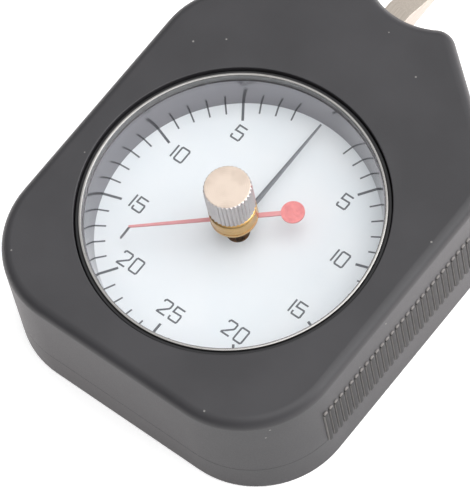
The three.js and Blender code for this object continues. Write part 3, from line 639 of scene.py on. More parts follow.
def joined(*meshes):
    # Several meshes in one, not cut into each other
    form = bmesh.new()
    for mesh in meshes:
        form.from_mesh(mesh)
    return plainMesh(form)


def combine(operation, base, *tools):
    # The base with each tool added or cut away
    for tool in tools:
        first, second = placed("base", base), placed("tool", tool)
        change = first.modifiers.new("change", "BOOLEAN")
        change.operation = operation
        change.solver = "MANIFOLD"
        change.object = second
        base = settled(first)
        bpy.data.objects.remove(first)
        bpy.data.objects.remove(second)
    return base


def settled(made):
    # The object's mesh with its modifiers applied
    looked = made.evaluated_get(bpy.context.evaluated_depsgraph_get())
    return bpy.data.meshes.new_from_object(looked)


def settle(piece):
    # The same, kept as the object's own mesh
    piece.data = settled(piece)
    piece.data.name = piece.name
    piece.modifiers.clear()


def makePiece(name, mesh, finish, body, slot, *nodes, sharp=32, bevel=0):
    # The piece in metres, smoothed up to the sharp angle, riding on its body
    mesh.transform(Matrix.Scale(mm, 4))
    mesh.materials.clear()
    mesh.materials.append(finishes[finish])
    piece = placed(name, mesh)
    if bevel:
        edges = piece.modifiers.new("edges", "BEVEL")
        edges.width = bevel * mm
        edges.segments = bevelSteps
        edges.limit_method = "ANGLE"
        edges.angle_limit = math.radians(sharp)
        settle(piece)
    piece.data.shade_smooth()
    piece.data.set_sharp_from_angle(angle=math.radians(sharp))
    weigh = piece.modifiers.new("weigh", "WEIGHTED_NORMAL")
    weigh.keep_sharp = True
    settle(piece)
    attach(piece, body)
    if nodes:
        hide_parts(*nodes)


class Growth(Graph):
    # A Geometry Nodes tree with named inputs
    def __init__(self, name, inputs):
        super().__init__(bpy.data.node_groups.new(name, "GeometryNodeTree"))
        interface = self.tree.interface
        interface.new_socket("Geometry", in_out="INPUT", socket_type="NodeSocketGeometry")
        interface.new_socket("Geometry", in_out="OUTPUT", socket_type="NodeSocketGeometry")
        self.keys = {}
        for label, kind in inputs.items():
            made = interface.new_socket(label, in_out="INPUT", socket_type="NodeSocket" + kind)
            self.keys[label] = made.identifier
        self.given = self.tree.nodes.new("NodeGroupInput")

    def take(self, label):
        return Wire(self, self.given.outputs[label])

    def finish(self, geometry, material):
        real = self.node("GeometryNodeRealizeInstances", {}, {0: geometry})
        painted = self.node("GeometryNodeSetMaterial", {}, {"Geometry": real, "Material": material})
        self.node("NodeGroupOutput", {}, {0: painted})

    def grow(self, values, base=None):
        # The tree's result as a plain mesh, in the tree's own units
        made = placed("grown", base or bpy.data.meshes.new("grown"))
        change = made.modifiers.new("growth", "NODES")
        change.node_group = self.tree
        for label, value in values.items():
            change[self.keys[label]] = value
        mesh = settled(made)
        bpy.data.objects.remove(made)
        return mesh


def repeated(growth, form, finish, values, base=None):
    # The tree's result with the form as what it repeats
    stamp = placed("stamp", form)
    mesh = growth.grow({"Form": stamp, "Finish": finishes[finish], **values}, base)
    bpy.data.objects.remove(stamp)
    return mesh


def rowTree():
    # Copies of a form, each a step and a turn about Z on from the one before
    growth = Growth("formRow", {
        "Form": "Object",
        "Count": "Int",
        "First": "Vector",
        "Step": "Vector",
        "First Turn": "Float",
        "Turn Step": "Float",
        "Finish": "Material",
    })
    index = growth.node("GeometryNodeInputIndex", {}, {})
    row = growth.node("GeometryNodeMeshLine", {}, {
        "Count": growth.take("Count"),
        "Start Location": growth.take("First"),
        "Offset": growth.take("Step"),
    })
    form = growth.node("GeometryNodeObjectInfo", {}, {"Object": growth.take("Form")}, "Geometry")
    turn = growth.take("First Turn") + index * growth.take("Turn Step")
    copies = growth.node("GeometryNodeInstanceOnPoints", {}, {
        "Points": row,
        "Instance": form,
        "Rotation": growth.node("ShaderNodeCombineXYZ", {}, {"Z": turn}),
    })
    growth.finish(copies, growth.take("Finish"))
    return growth


# Case

caseSet = {
    "cornerRadius": 15.7,
    "shoulderDrop": 14.8,
    "shoulderAngle": math.radians(38.66),
    "shoulderRadius": 13.2,
    "scoopRadius": 13.2,
    "hornRadius": 3.4,
    "scoopDepth": 2.18,
    "wall": 2.2,
    "rearWall": 2.0,
    "frontFillet": 1.8,
    "rearFillet": 0.4,
    "partingChamfer": 0.05,
    "lipRound": 0.18,
    "lipSteps": 4,
    "cornerSteps": 20,
    "hornSteps": 10,
    "filletSteps": 9,
    "cavityRound": 1.5,
    "cavitySteps": 8,
    "skirtWall": 1.5,
    "windowGap": 0.2,
    "ledgeWidth": 5.05,
    "ledgeThickness": 1.7,
    "postRadius": 2.6,
    "postSides": 32,
    "slotGap": 0.45,
    "slotHalfWidth": 7.9,
    "slotRun": 2,
    "screwHole": 1.05,
    "headHole": 2.0,
    "headHoleSides": 48,
    "headSink": 1.9,
}
rearLow, rearHigh = span("rear_cover")
halfWidth = (rearHigh.x - rearLow.x) / 2
caseMiddle = (rearHigh.x + rearLow.x) / 2
caseBottom = rearLow.y
hornTop = rearHigh.y
parting = rearHigh.z
caseTop = topOf("front_case")
screwPlaces = [sum(span(screw), Vector()) / 2 for screw in numbered("case_screw")]


def shoulderLine():
    # The right shoulder's outward direction, and how far out along it the shoulder lies
    angle = caseSet["shoulderAngle"]
    normal = Vector((math.sin(angle), math.cos(angle)))
    start = hornTop - caseSet["scoopDepth"] - caseSet["shoulderDrop"]
    return normal, normal.dot(Vector((halfWidth, start)))


def hornCentre(side):
    # The horn's round touches the shoulder and the scoop; its place is mirrored on the left
    have = caseSet
    normal, reach = shoulderLine()
    scoop = Vector((0, hornTop - have["scoopDepth"] + have["scoopRadius"]))
    away = normal.dot(scoop) - (reach + side * normal.x * caseMiddle - have["hornRadius"])
    along = math.sqrt((have["scoopRadius"] + have["hornRadius"]) ** 2 - away ** 2)
    return scoop - normal * away + Vector((normal.y, -normal.x)) * along


def caseArcs():
    # Centre, radius, first and last angle of each arc round the case, and whether it bulges out
    have = caseSet
    cornerX = halfWidth - have["cornerRadius"]
    lowY = caseBottom + have["cornerRadius"]
    shoulderX = halfWidth - have["shoulderRadius"]
    facing = math.pi / 2 - have["shoulderAngle"]
    scoopBottom = hornTop - have["scoopDepth"]
    scoopY = scoopBottom + have["scoopRadius"]
    shoulderY = scoopBottom - have["shoulderDrop"] - have["shoulderRadius"] * math.tan(facing / 2)
    right, left = hornCentre(1), hornCentre(-1)
    rightIn = math.atan2(scoopY - right.y, -right.x)
    leftIn = math.atan2(scoopY - left.y, -left.x)
    return [
        (caseMiddle + cornerX, lowY, have["cornerRadius"], -math.pi / 2, 0, 1),
        (caseMiddle + shoulderX, shoulderY, have["shoulderRadius"], 0, facing, 1),
        (right.x, right.y, have["hornRadius"], facing, rightIn, 1),
        (0, scoopY, have["scoopRadius"], rightIn - math.pi, -leftIn, -1),
        (-left.x, left.y, have["hornRadius"], math.pi - leftIn, math.pi - facing, 1),
        (caseMiddle - shoulderX, shoulderY, have["shoulderRadius"], math.pi - facing, math.pi, 1),
        (caseMiddle - cornerX, lowY, have["cornerRadius"], math.pi, 1.5 * math.pi, 1),
    ]


def caseRing(inset, height):
    # The case's outline, moved in by the inset
    points = []
    for x, y, radius, first, last, bulge in caseArcs():
        steps = caseSet["hornSteps"] if radius == caseSet["hornRadius"] else caseSet["cornerSteps"]
        grown = radius - bulge * inset
        for step in range(steps + 1):
            angle = first + (last - first) * step / steps
            points.append((x + grown * math.cos(angle), y + grown * math.sin(angle), height))
    return points


def caseCavity(bottom, top):
    have = caseSet
    side = halfWidth - have["wall"]
    lowY = caseBottom + have["wall"]
    highY = hornTop - have["scoopDepth"] - have["wall"]
    normal, reach = shoulderLine()
    reach -= have["wall"]
    shoulderY = (reach - side * normal.x) / normal.y
    highX = (reach - highY * normal.y) / normal.x
    inner = have["cornerRadius"] - have["wall"]
    outline = roundCorners([
        (side, lowY, inner),
        (side, shoulderY, inner),
        (highX, highY, have["cavityRound"]),
        (-highX, highY, have["cavityRound"]),
        (-side, shoulderY, inner),
        (-side, lowY, inner),
    ], have["cavitySteps"])
    return prism([(caseMiddle + x, y) for x, y in outline], bottom, top)


def filletRings(fillet, edge, inward):
    # Rings round a quarter of a circle, from the wall up or down to the face
    steps = caseSet["filletSteps"]
    rings = []
    for step in range(steps + 1):
        angle = math.pi / 2 * step / steps
        inset = fillet * (1 - math.cos(angle))
        rings.append(caseRing(inset, edge + inward * fillet * (math.sin(angle) - 1)))
    return rings


def screwColumns(radius, bottom, top, sides):
    # One round column at each case screw
    return [prism(circle(radius, place.x, place.y, sides), bottom, top) for place in screwPlaces]


def frontShell():
    have = caseSet
    chamfer = have["partingChamfer"]
    window = radiusOf("dial_plate") + have["windowGap"]
    ledgeTop = bottomOf("dial_plate")
    ledge = ledgeTop - have["ledgeThickness"]
    skirtTop = caseTop - have["wall"] / 2
    block = loft([caseRing(chamfer, parting), caseRing(0, parting + chamfer)]
                 + filletRings(have["frontFillet"], caseTop, 1))
    shell = combine("DIFFERENCE", block, caseCavity(parting - overrun, caseTop - have["wall"]))
    skirt = lathe([
        (window - have["ledgeWidth"], ledge),
        (window + have["skirtWall"], ledge),
        (window + have["skirtWall"], skirtTop),
        (window - have["windowGap"], skirtTop),
        (window - have["windowGap"], ledgeTop),
        (window - have["ledgeWidth"], ledgeTop),
    ])
    posts = screwColumns(have["postRadius"], parting, skirtTop, have["postSides"])
    lip, steps = have["lipRound"], have["lipSteps"]
    flare = [(window + lip * (1 - math.cos(angle)), caseTop - lip * (1 - math.sin(angle)))
             for angle in [math.pi / 2 * step / steps for step in range(steps + 1)]]
    opening = lathe([(0, ledgeTop), (window, ledgeTop)] + flare
                    + [(window + lip, caseTop + overrun), (0, caseTop + overrun)])
    leverLow, leverHigh = span("lever_bar")
    wide = have["slotHalfWidth"]
    slotLow = hornTop - have["scoopDepth"] - have["wall"] - have["slotRun"]
    slotHigh = hornTop + have["slotRun"]
    slot = prism([(wide, slotLow), (wide, slotHigh), (-wide, slotHigh), (-wide, slotLow)],
                 leverLow.z - have["slotGap"], leverHigh.z + have["slotGap"])
    shell = combine("UNION", shell, skirt, *posts)
    return combine("DIFFERENCE", shell, opening, slot)


def rearShell():
    have = caseSet
    chamfer = have["partingChamfer"]
    block = loft(filletRings(have["rearFillet"], 0, -1)[::-1]
                 + [caseRing(0, parting - chamfer), caseRing(chamfer, parting)])
    shell = combine("DIFFERENCE", block, caseCavity(have["rearWall"], parting + overrun))
    bosses = screwColumns(have["postRadius"], have["rearWall"] / 2, parting, have["postSides"])
    shell = combine("UNION", shell, *bosses)
    bores = screwColumns(have["screwHole"], -overrun, parting + overrun, have["postSides"])
    sinks = screwColumns(have["headHole"], -overrun, have["headSink"], have["headHoleSides"])
    return combine("DIFFERENCE", shell, *bores, *sinks)


makePiece("frontShell", frontShell(), "case", "case", "case_plastic", "front_case")
makePiece("rearShell", rearShell(), "case", "case", "case_plastic", "rear_cover")
print("case shells made")


# Grip ribs

ribSet = {
    "pitch": 1.3,
    "width": 0.9,
    "height": 9.3,
    "overhang": 1.3,
    "proud": 0.3,
    "sink": 0.15,
    "flatness": 0.5,
    "domeSteps": 5,
    "domeRest": 0.4,
    "sides": 10,
    "sharp": 50,
}
# Rib tones: the dark and light tones are darker than the case plastic as painted shade, and the tip
# and edge tones are painted highlights
shadedRibPlasticSet = {
    "dark": (28, 27, 28),
    "light": (38, 37, 37),
    "mottle": 2.5,
    "tip": (122, 118, 116),
    "tipHighlightDrop": 0.3,
    "edge": (128, 125, 123),
    "edgeHighlightStart": 0.29,
    "edgeHighlightDrop": 0.7,
    "roughness": (0.5, 0.62),
    "ior": 1.38,
}
firstRib = caseBottom + caseSet["cornerRadius"] - ribSet["overhang"]


def ribPlastic():
    # The ribs are painted darker than the wall as shade, with painted highlights on their tips and
    # along their edges
    have = shadedRibPlasticSet
    finish = Finish("ribPlastic")
    worn = finish.noise(have["mottle"])
    body = finish.blend(worn, have["dark"], have["light"])
    ribTop = parting + ribSet["height"]
    across = ((finish.axis("Y") - firstRib) / ribSet["pitch"] + 0.5) % 1 - 0.5
    # A painted highlight along both edges of each rib, where its flanks catch the light
    edges = ((across * across > have["edgeHighlightStart"] ** 2)
             * (finish.axis("Z") < ribTop - have["edgeHighlightDrop"]))
    # A painted highlight on each rib's domed tip
    tipHighlights = finish.axis("Z") > ribTop - have["tipHighlightDrop"]
    return finish.show(finish.principled({
        "Base Color": finish.blend(tipHighlights, finish.blend(edges, body, have["edge"]), have["tip"]),
        "Roughness": finish.spread(have["roughness"], worn),
        "IOR": have["ior"],
    }))


def ribForm():
    # Flat bar with rounded edges that ends in a dome, which stays just short of a point
    have = ribSet
    half = have["width"] / 2
    proud = have["proud"]
    flat = have["flatness"]

    def section(share, height):
        points = [(-have["sink"], -half * share, height)]
        for step in range(have["sides"] + 1):
            angle = math.pi * step / have["sides"] - math.pi / 2
            out = math.cos(angle) ** flat
            across = math.copysign(abs(math.sin(angle)) ** flat, angle)
            points.append((proud * share * out, half * share * across, height))
        points.append((-have["sink"], half * share, height))
        return points

    rings = [section(1, 0), section(1, have["height"] - half)]
    for step in range(1, have["domeSteps"] + 1):
        angle = math.pi / 2 * step / (have["domeSteps"] + have["domeRest"])
        rings.append(section(math.cos(angle), have["height"] - half + half * math.sin(angle)))
    return loft(rings)


def gripRibs():
    have = ribSet
    lastRib = caseArcs()[1][1] + have["overhang"]
    growth, rib = rowTree(), ribForm()
    rows = [repeated(growth, rib, "rib", {
        "Count": int((lastRib - firstRib) / have["pitch"]) + 1,
        "First": (caseMiddle + side * halfWidth, firstRib, parting),
        "Step": (0, have["pitch"], 0),
        "First Turn": turn,
    }) for side, turn in ((1, 0.0), (-1, math.pi))]
    makePiece("gripRibs", joined(*rows), "rib", "case", "case_plastic", "front_case",
              sharp=have["sharp"])


finishes["rib"] = ribPlastic()
gripRibs()
print("grip ribs made")


# Window

windowSet = {
    "bezelRound": 0.12,
    "bezelWidth": 0.52,
    "linerWidth": 0.05,
    "gasketWidth": 0.55,
    "gasketRound": 0.16,
    "footInset": 0.1,
    "footThickness": 0.05,
    "reflectorWidth": 2.05,
    "reflectorFlare": 0.75,
    "crystalRound": 0.1,
    "crystalHole": 3.7,  # inside the bush's neck
    "sides": 256,
}


def windowRings():
    have = windowSet
    outer = radiusOf("dial_plate")
    crystalLow, crystalHigh = span("crystal")
    dialTop = topOf("dial_plate")
    gasketInner = outer - have["gasketWidth"]
    bezelInner = gasketInner - have["bezelWidth"]
    bezelTop = topOf("bezel_ring")
    footTop = crystalLow.z + have["footThickness"]
    linerOuter = bezelInner + have["linerWidth"]
    sides = have["sides"]
    makePiece("bezel", lathe(roundCorners([
        (linerOuter, footTop, 0),
        (gasketInner, footTop, 0),
        (gasketInner, bezelTop, have["bezelRound"]),
        (linerOuter, bezelTop, have["bezelRound"]),
    ], steps=6), sides), "bezel", "case", "polished_ring", "bezel_ring")
    # The bezel's bore, which is duller than its face
    makePiece("bezelBore", lathe([
        (bezelInner, footTop),
        (linerOuter, footTop),
        (linerOuter, bezelTop - have["bezelRound"]),
        (bezelInner, bezelTop - have["bezelRound"] - have["linerWidth"]),
    ], sides), "liner", "case", "polished_ring", "bezel_ring")
    makePiece("gasket", lathe(roundCorners([
        (bezelInner + have["footInset"], crystalLow.z, 0),
        (outer, crystalLow.z, 0),
        (outer, topOf("bezel_gasket"), have["gasketRound"]),
        (gasketInner, topOf("bezel_gasket"), have["gasketRound"]),
        (gasketInner, footTop, 0),
        (bezelInner + have["footInset"], footTop, 0),
    ], steps=4), sides), "gasket", "case", "dark_rubber", "bezel_gasket")
    reflectorInner = outer - have["reflectorWidth"]
    makePiece("reflector", lathe([
        (reflectorInner, dialTop),
        (outer, dialTop),
        (outer, crystalLow.z),
        (reflectorInner + have["reflectorFlare"], crystalLow.z),
    ], sides), "reflector", "case", "polished_ring", "reflector_ring")
    rim = have["crystalRound"]
    neck = have["crystalHole"]
    makePiece("windowCrystal", lathe(roundCorners([
        (neck, footTop, 0),
        (bezelInner + rim, footTop, 0),
        (bezelInner + rim, crystalHigh.z, rim),
        (neck, crystalHigh.z, 0),
    ], steps=3), sides), "crystal", "case", "clear_glass", "crystal")
    hole = dialSet["hole"]
    makePiece("dial", lathe(roundCorners([
        (hole, bottomOf("dial_plate"), 0),
        (outer, bottomOf("dial_plate"), 0),
        (outer, dialTop, 0),
        (hole, dialTop, dialSet["holeRound"]),
    ], steps=3), sides), "dial", "case", "dial_white", "dial_plate")


dialSet = {
    "hole": 1.9,
    "holeRound": 0.08,
    "units": 50,
    "firstUnit": 2,
    "majorEvery": 5,
    "underRing": 0.1,
    "minorInner": 21.0,
    "majorInner": 19.65,
    "minorWidth": 0.27,
    "majorWidth": 0.42,
    "inkHeight": 0.015,
    "digitHeight": 2.46,
    "digitWidth": 1.5,
    "digitStroke": 0.3,
    "digitPitch": 2.3,
    "narrowPitch": 0.8,
    "mitreLimit": 0.4,
}


def dialTicks():
    # One stroke for each unit round the dial, the fifths longer and wider
    have = dialSet
    growth = Growth("tickRing", {
        "Count": "Int",
        "First Unit": "Float",
        "Unit Angle": "Float",
        "Major Every": "Float",
        "Outer": "Float",
        "Minor Inner": "Float",
        "Major Inner": "Float",
        "Minor Width": "Float",
        "Major Width": "Float",
        "Height": "Float",
        "Level": "Float",
        "Finish": "Material",
    })
    index = growth.node("GeometryNodeInputIndex", {}, {})
    unit = index + growth.take("First Unit")
    major = (unit % growth.take("Major Every")) < 0.5
    widen = growth.take("Major Width") - growth.take("Minor Width")
    lengthen = growth.take("Major Inner") - growth.take("Minor Inner")
    width = growth.take("Minor Width") + major * widen
    inner = growth.take("Minor Inner") + major * lengthen
    angle = unit * growth.take("Unit Angle")
    middle = (growth.take("Outer") + inner) / 2
    sine = growth.node("ShaderNodeMath", {"operation": "SINE"}, {0: angle})
    cosine = growth.node("ShaderNodeMath", {"operation": "COSINE"}, {0: angle})
    place = growth.node("ShaderNodeCombineXYZ", {}, {
        "X": 0 - middle * sine,
        "Y": middle * cosine,
        "Z": growth.take("Level"),
    })
    row = growth.node("GeometryNodeMeshLine", {}, {"Count": growth.take("Count")})
    ring = growth.node("GeometryNodeSetPosition", {}, {"Geometry": row, "Position": place})
    stroke = growth.node("GeometryNodeMeshCube", {}, {"Size": (1, 1, 1)})
    ticks = growth.node("GeometryNodeInstanceOnPoints", {}, {
        "Points": ring,
        "Instance": stroke,
        "Rotation": growth.node("ShaderNodeCombineXYZ", {}, {"Z": angle}),
        "Scale": growth.node("ShaderNodeCombineXYZ", {}, {
            "X": width,
            "Y": growth.take("Outer") - inner,
            "Z": growth.take("Height"),
        }),
    })
    growth.finish(ticks, growth.take("Finish"))
    return growth.grow({
        "Count": have["units"] - 2 * have["firstUnit"] + 1,
        "First Unit": float(have["firstUnit"]),
        "Unit Angle": 2 * math.pi / have["units"],
        "Major Every": float(have["majorEvery"]),
        "Outer": radiusOf("dial_plate") - windowSet["reflectorWidth"] + have["underRing"],
        "Minor Inner": have["minorInner"],
        "Major Inner": have["majorInner"],
        "Minor Width": have["minorWidth"],
        "Major Width": have["majorWidth"],
        "Height": have["inkHeight"],
        "Level": topOf("dial_plate") + have["inkHeight"] / 2,
        "Finish": finishes["ink"],
    })


# Strokes of each digit, in shares of its width and height from its lower left
digitStrokes = {
    "0": [[(0, 0.08), (0, 0.92), (0.1, 1), (0.9, 1), (1, 0.92), (1, 0.08), (0.9, 0), (0.1, 0),
           (0, 0.08)]],
    "1": [[(0.07, 0.98), (0.07, 0)]],
    "2": [[(0, 0.8), (0, 0.92), (0.12, 1), (0.88, 1), (1, 0.92), (1, 0.66), (0.94, 0.56), (0, 0.06),
           (0, 0), (1, 0)]],
    "5": [[(1.02, 0.98), (0, 0.98), (-0.03, 0.56), (0.94, 0.58), (1.02, 0.49), (1.02, 0.08),
           (0.93, 0), (0.02, 0), (-0.05, 0.07), (-0.05, 0.25)]],
}
# The middle of each number right of the dial's centre line, in millimetres
numberPlaces = {
    "5": (10.65, 13.85),
    "10": (16.1, 5.5),
    "15": (16.0, -5.2),
    "20": (10.5, -14.0),
    "25": (0, -17.0),
}


def strokeMesh(points, width, bottom, top):
    # A ribbon of even width along the points
    half = width / 2
    left, right = [], []
    for index, point in enumerate(points):
        before = points[index - 1] if index else None
        after = points[index + 1] if index + 1 < len(points) else None
        if before is None and points[0] == points[-1]:
            before = points[-2]
        if after is None and points[0] == points[-1]:
            after = points[1]
        along = [(Vector(b) - Vector(a)).normalized()
                 for a, b in ((before, point), (point, after)) if a is not None and b is not None]
        middle = sum(along, Vector((0, 0))).normalized()
        reach = half / max(dialSet["mitreLimit"], middle.dot(along[0]))
        aside = Vector((-middle.y, middle.x)) * reach
        left.append(Vector(point) + aside)
        right.append(Vector(point) - aside)
    form = bmesh.new()
    rows = [[form.verts.new((*side[k], height)) for k in range(len(points))]
            for side in (left, right) for height in (bottom, top)]
    leftLow, leftHigh, rightLow, rightHigh = rows
    for k in range(len(points) - 1):
        for first, second in ((leftHigh, rightHigh), (rightLow, leftLow), (leftLow, leftHigh),
                              (rightHigh, rightLow)):
            form.faces.new((first[k], first[k + 1], second[k + 1], second[k]))
    if points[0] != points[-1]:
        for k in (0, -1):
            form.faces.new((leftLow[k], leftHigh[k], rightHigh[k], rightLow[k]))
    bmesh.ops.remove_doubles(form, verts=form.verts, dist=mergeDistance)
    return meshFrom(form)


def dialNumbers():
    # Each number stands on both sides of the dial, apart from the lowest
    have = dialSet
    level = topOf("dial_plate")
    strokes = []
    for digits, (x, y) in numberPlaces.items():
        pitches = [have["narrowPitch"] if digit == "1" else have["digitPitch"] for digit in digits]
        width = sum(pitches[:-1]) + have["digitWidth"]
        for middle in {x, -x}:
            left = middle - width / 2
            for index, digit in enumerate(digits):
                corner = left + sum(pitches[:index])
                for line in digitStrokes[digit]:
                    points = [(corner + share[0] * have["digitWidth"],
                               y + (share[1] - 0.5) * have["digitHeight"]) for share in line]
                    strokes.append(strokeMesh(points, have["digitStroke"], level,
                                              level + have["inkHeight"]))
    return joined(*strokes)


windowRings()
makePiece("dialTicks", dialTicks(), "ink", "case", "black_paint")
makePiece("dialNumbers", dialNumbers(), "ink", "case", "black_paint")
print("window and dial made")


# Bush and knob

knobSet = {
    "chamfer": 0.3,
    "knurls": 34,
    "knurlDepth": 0.28,
    "bore": 1.55,
    "socketDepth": 4.2,
    "bushNeck": 3.8,
    "bushThread": 2.71,
    "bushRound": 0.5,
    "threadRound": 0.1,
    "threadGap": 0.05,
    "seatRound": 0.06,
    "nutChamfer": 0.3,
    "nutRound": 0.08,
    "washerRound": 0.15,
    "washerRadius": 2.4,
    "spindleRadius": 1.5,
    "spindleRound": 0.12,
    "coreSharp": 25,
    "knurlSharp": 20,
}


def bushAndNut():
    have = knobSet
    low, high = span("crystal_bush")
    crystalLow, crystalHigh = span("crystal")
    outer = high.x
    makePiece("bush", lathe(roundCorners([
        (have["bore"], low.z, 0),
        (have["bushThread"], low.z, have["threadRound"]),
        (have["bushThread"], crystalLow.z, 0),
        (have["bushNeck"], crystalLow.z, 0),
        (have["bushNeck"], crystalHigh.z, 0),
        (outer, crystalHigh.z, have["seatRound"]),
        (outer, high.z, have["bushRound"]),
        (have["bore"], high.z, 0),
    ], steps=4), sides=96), "brass", "case", "brass", "crystal_bush")
    nutLow, nutHigh = span("bush_nut")
    nutBore = have["bushThread"] + have["threadGap"]
    makePiece("bushNut", lathe(roundCorners([
        (nutBore, nutLow.z, 0),
        (outer - have["nutChamfer"], nutLow.z, have["nutRound"]),
        (outer, nutLow.z + have["nutChamfer"], have["nutRound"]),
        (outer, nutHigh.z, 0),
        (nutBore, nutHigh.z, 0),
    ], steps=3), sides=96), "brass", "case", "brass", "bush_nut")


def knurlForm(length):
    # One ridge: a three-cornered bar whose ends follow the knob's chamfers
    have = knobSet
    crest = radiusOf("bush_nut")
    root = crest - have["knurlDepth"]
    half = math.pi * root / have["knurls"]
    sunk = root - have["knurlDepth"]
    ends = []
    for side in (-1, 1):
        rootEnd = side * (length / 2 - have["chamfer"] + have["knurlDepth"])
        crestEnd = side * (length / 2 - have["chamfer"])
        ends.append([(sunk, -half, rootEnd), (root, -half, rootEnd), (crest, 0, crestEnd),
                     (root, half, rootEnd), (sunk, half, rootEnd)])
    return loft(ends)


def resetKnob():
    have = knobSet
    low, high = bottomOf("reset_knob"), topOf("reset_knob")
    crest = radiusOf("bush_nut")
    root = crest - have["knurlDepth"]
    edge = have["chamfer"] - have["knurlDepth"]
    core = lathe(roundCorners([
        (have["bore"], low, 0),
        (root - edge, low, 0),
        (root, low + edge, 0),
        (root, high - edge, 0),
        (root - edge, high, 0),
        (0, high, 0),
        (0, low + have["socketDepth"], 0),
        (have["bore"], low + have["socketDepth"], 0),
    ], steps=3), sides=132)
    knurls = repeated(rowTree(), knurlForm(high - low), "knob", {
        "Count": have["knurls"],
        "First": (0, 0, (low + high) / 2),
        "Step": (0, 0, 0),
        "Turn Step": 2 * math.pi / have["knurls"],
    })
    makePiece("knob", core, "knob", "drag_pointer", "nickel", "reset_knob",
              sharp=have["coreSharp"])
    makePiece("knobKnurls", knurls, "knob", "drag_pointer", "nickel", "reset_knob",
              sharp=have["knurlSharp"])


def spindleAndWasher():
    have = knobSet
    low, high = span("pointer_washer")
    makePiece("washer", lathe(roundCorners([
        (have["bore"], low.z, 0),
        (have["washerRadius"], low.z, have["washerRound"]),
        (have["washerRadius"], high.z, have["washerRound"]),
        (have["bore"], high.z, 0),
    ], steps=4), sides=96), "brass", "drag_pointer", "brass", "pointer_washer")
    low, high = span("reset_spindle")
    makePiece("spindle", lathe(roundCorners([
        (0, low.z, 0),
        (have["spindleRadius"], low.z, have["spindleRound"]),
        (have["spindleRadius"], high.z, have["spindleRound"]),
        (0, high.z, 0),
    ], steps=3), sides=64), "shaft", "drag_pointer", "brushed_steel", "reset_spindle")


bushAndNut()
resetKnob()
spindleAndWasher()
print("knob made")


# Pointers

needleSet = {
    "tipRadius": 21.7,
    "rootWidth": 0.95,
    "tipWidth": 0.28,
    "rootPlace": 0.5,
    "eyeRadius": 1.5,
    "eyeHole": 1.05,
    "eyeRound": 0.06,
    "edgeThickness": 0.17,
    "hubRadius": 1.4,
    "hubRound": 0.1,
    "hubNeck": 1.0,
    "neckRound": 0.12,
    "hubBore": 0.65,
    "sharp": 10,
}


def needleBlade():
    # A blade with a ridge along its middle
    have = needleSet
    low, high = bottomOf("needle"), topOf("needle")
    edge = low + have["edgeThickness"]
    rings = []
    for y, width in ((have["rootPlace"], have["rootWidth"]),
                     (have["tipRadius"], have["tipWidth"])):
        half = width / 2
        rings.append([(-half, y, low), (half, y, low), (half, y, edge), (0, y, high),
                      (-half, y, edge)])
    eye = lathe(roundCorners([
        (have["eyeHole"], low, 0),
        (have["eyeRadius"], low, 0),
        (have["eyeRadius"], high, have["eyeRound"]),
        (have["eyeHole"], high, 0),
    ], steps=3), sides=64)
    makePiece("needleBlade", combine("UNION", loft(rings), eye), "needle", "pointer",
              "black_paint", "needle", sharp=have["sharp"])
    hubLow, hubHigh = span("needle_hub")
    makePiece("needleHub", lathe(roundCorners([
        (have["hubBore"], hubLow.z, 0),
        (have["hubRadius"], hubLow.z, have["hubRound"]),
        (have["hubRadius"], low, 0),
        (have["hubNeck"], low, 0),
        (have["hubNeck"], hubHigh.z, have["neckRound"]),
        (have["hubBore"], hubHigh.z, 0),
    ], steps=3), sides=64), "needle", "pointer", "black_paint", "needle_hub")


dragSet = {
    "restAngle": math.radians(130.5),
    "thickness": 0.3,
    "edge": 0.07,
    "hubRadius": 2.3,
    "tipRadius": 16.72,
    "rootWidth": 0.7,
    "tipWidth": 0.35,
    "tailWidth": 0.75,
    "discPlace": 9.15,
    "discRadius": 1.9,
    "tabReach": 18.53,
    "tabWidth": 0.38,
    "tabSink": 0.02,
    "tabEdge": 0.06,
    "spindleHole": 1.55,
    "holeSides": 48,
}


def dragPointer():
    # The red arm with its disc, and the bare tab bent down at its tip
    have = dragSet
    thick, tip, disc = have["thickness"], have["tipRadius"], have["discPlace"]
    high = topOf("red_pointer")
    low = high - thick
    arm = loft([[(-width / 2, y, low), (width / 2, y, low), (width / 2, y, high),
                 (-width / 2, y, high)]
                for y, width in ((0, have["rootWidth"]), (tip, have["tipWidth"]))])
    half = have["tailWidth"] / 2
    tail = prism([(-half, 0), (-half, -disc), (half, -disc), (half, 0)], low, high)
    hub = prism(circle(have["hubRadius"]), low, high)
    button = prism(circle(have["discRadius"], 0, -disc), low, high)
    bore = prism(circle(have["spindleHole"], sides=have["holeSides"]),
                 low - overrun, high + overrun)
    body = combine("DIFFERENCE", combine("UNION", hub, arm, tail, button), bore)
    half = have["tabWidth"] / 2
    tabTop, tabLow, reach = high - have["tabSink"], bottomOf("red_pointer"), have["tabReach"]
    side = [(tip - thick, tabTop), (tip - thick, low), (reach - thick, tabLow),
            (reach, tabLow), (tip, low), (tip, tabTop)]
    tab = loft([[(x, y, z) for y, z in side] for x in (-half, half)])
    for mesh in (body, tab):
        mesh.transform(Matrix.Rotation(have["restAngle"], 4, "Z"))
    makePiece("dragArm", body, "red", "drag_pointer", "red_paint", "red_pointer",
              bevel=have["edge"])
    makePiece("dragTab", tab, "tab", "drag_pointer", "red_paint", "red_pointer",
              bevel=have["tabEdge"])


needleBlade()
dragPointer()
print("pointers made")


# Lever

leverSet = {
    "taperStart": 45.35,
    "taperAngle": math.radians(20.3),
    "stripTop": 15.4,
    "narrowStart": 63.5,
    "tipWidth": 2.2,
    "edge": 0.1,
    "tipSteps": 10,
}


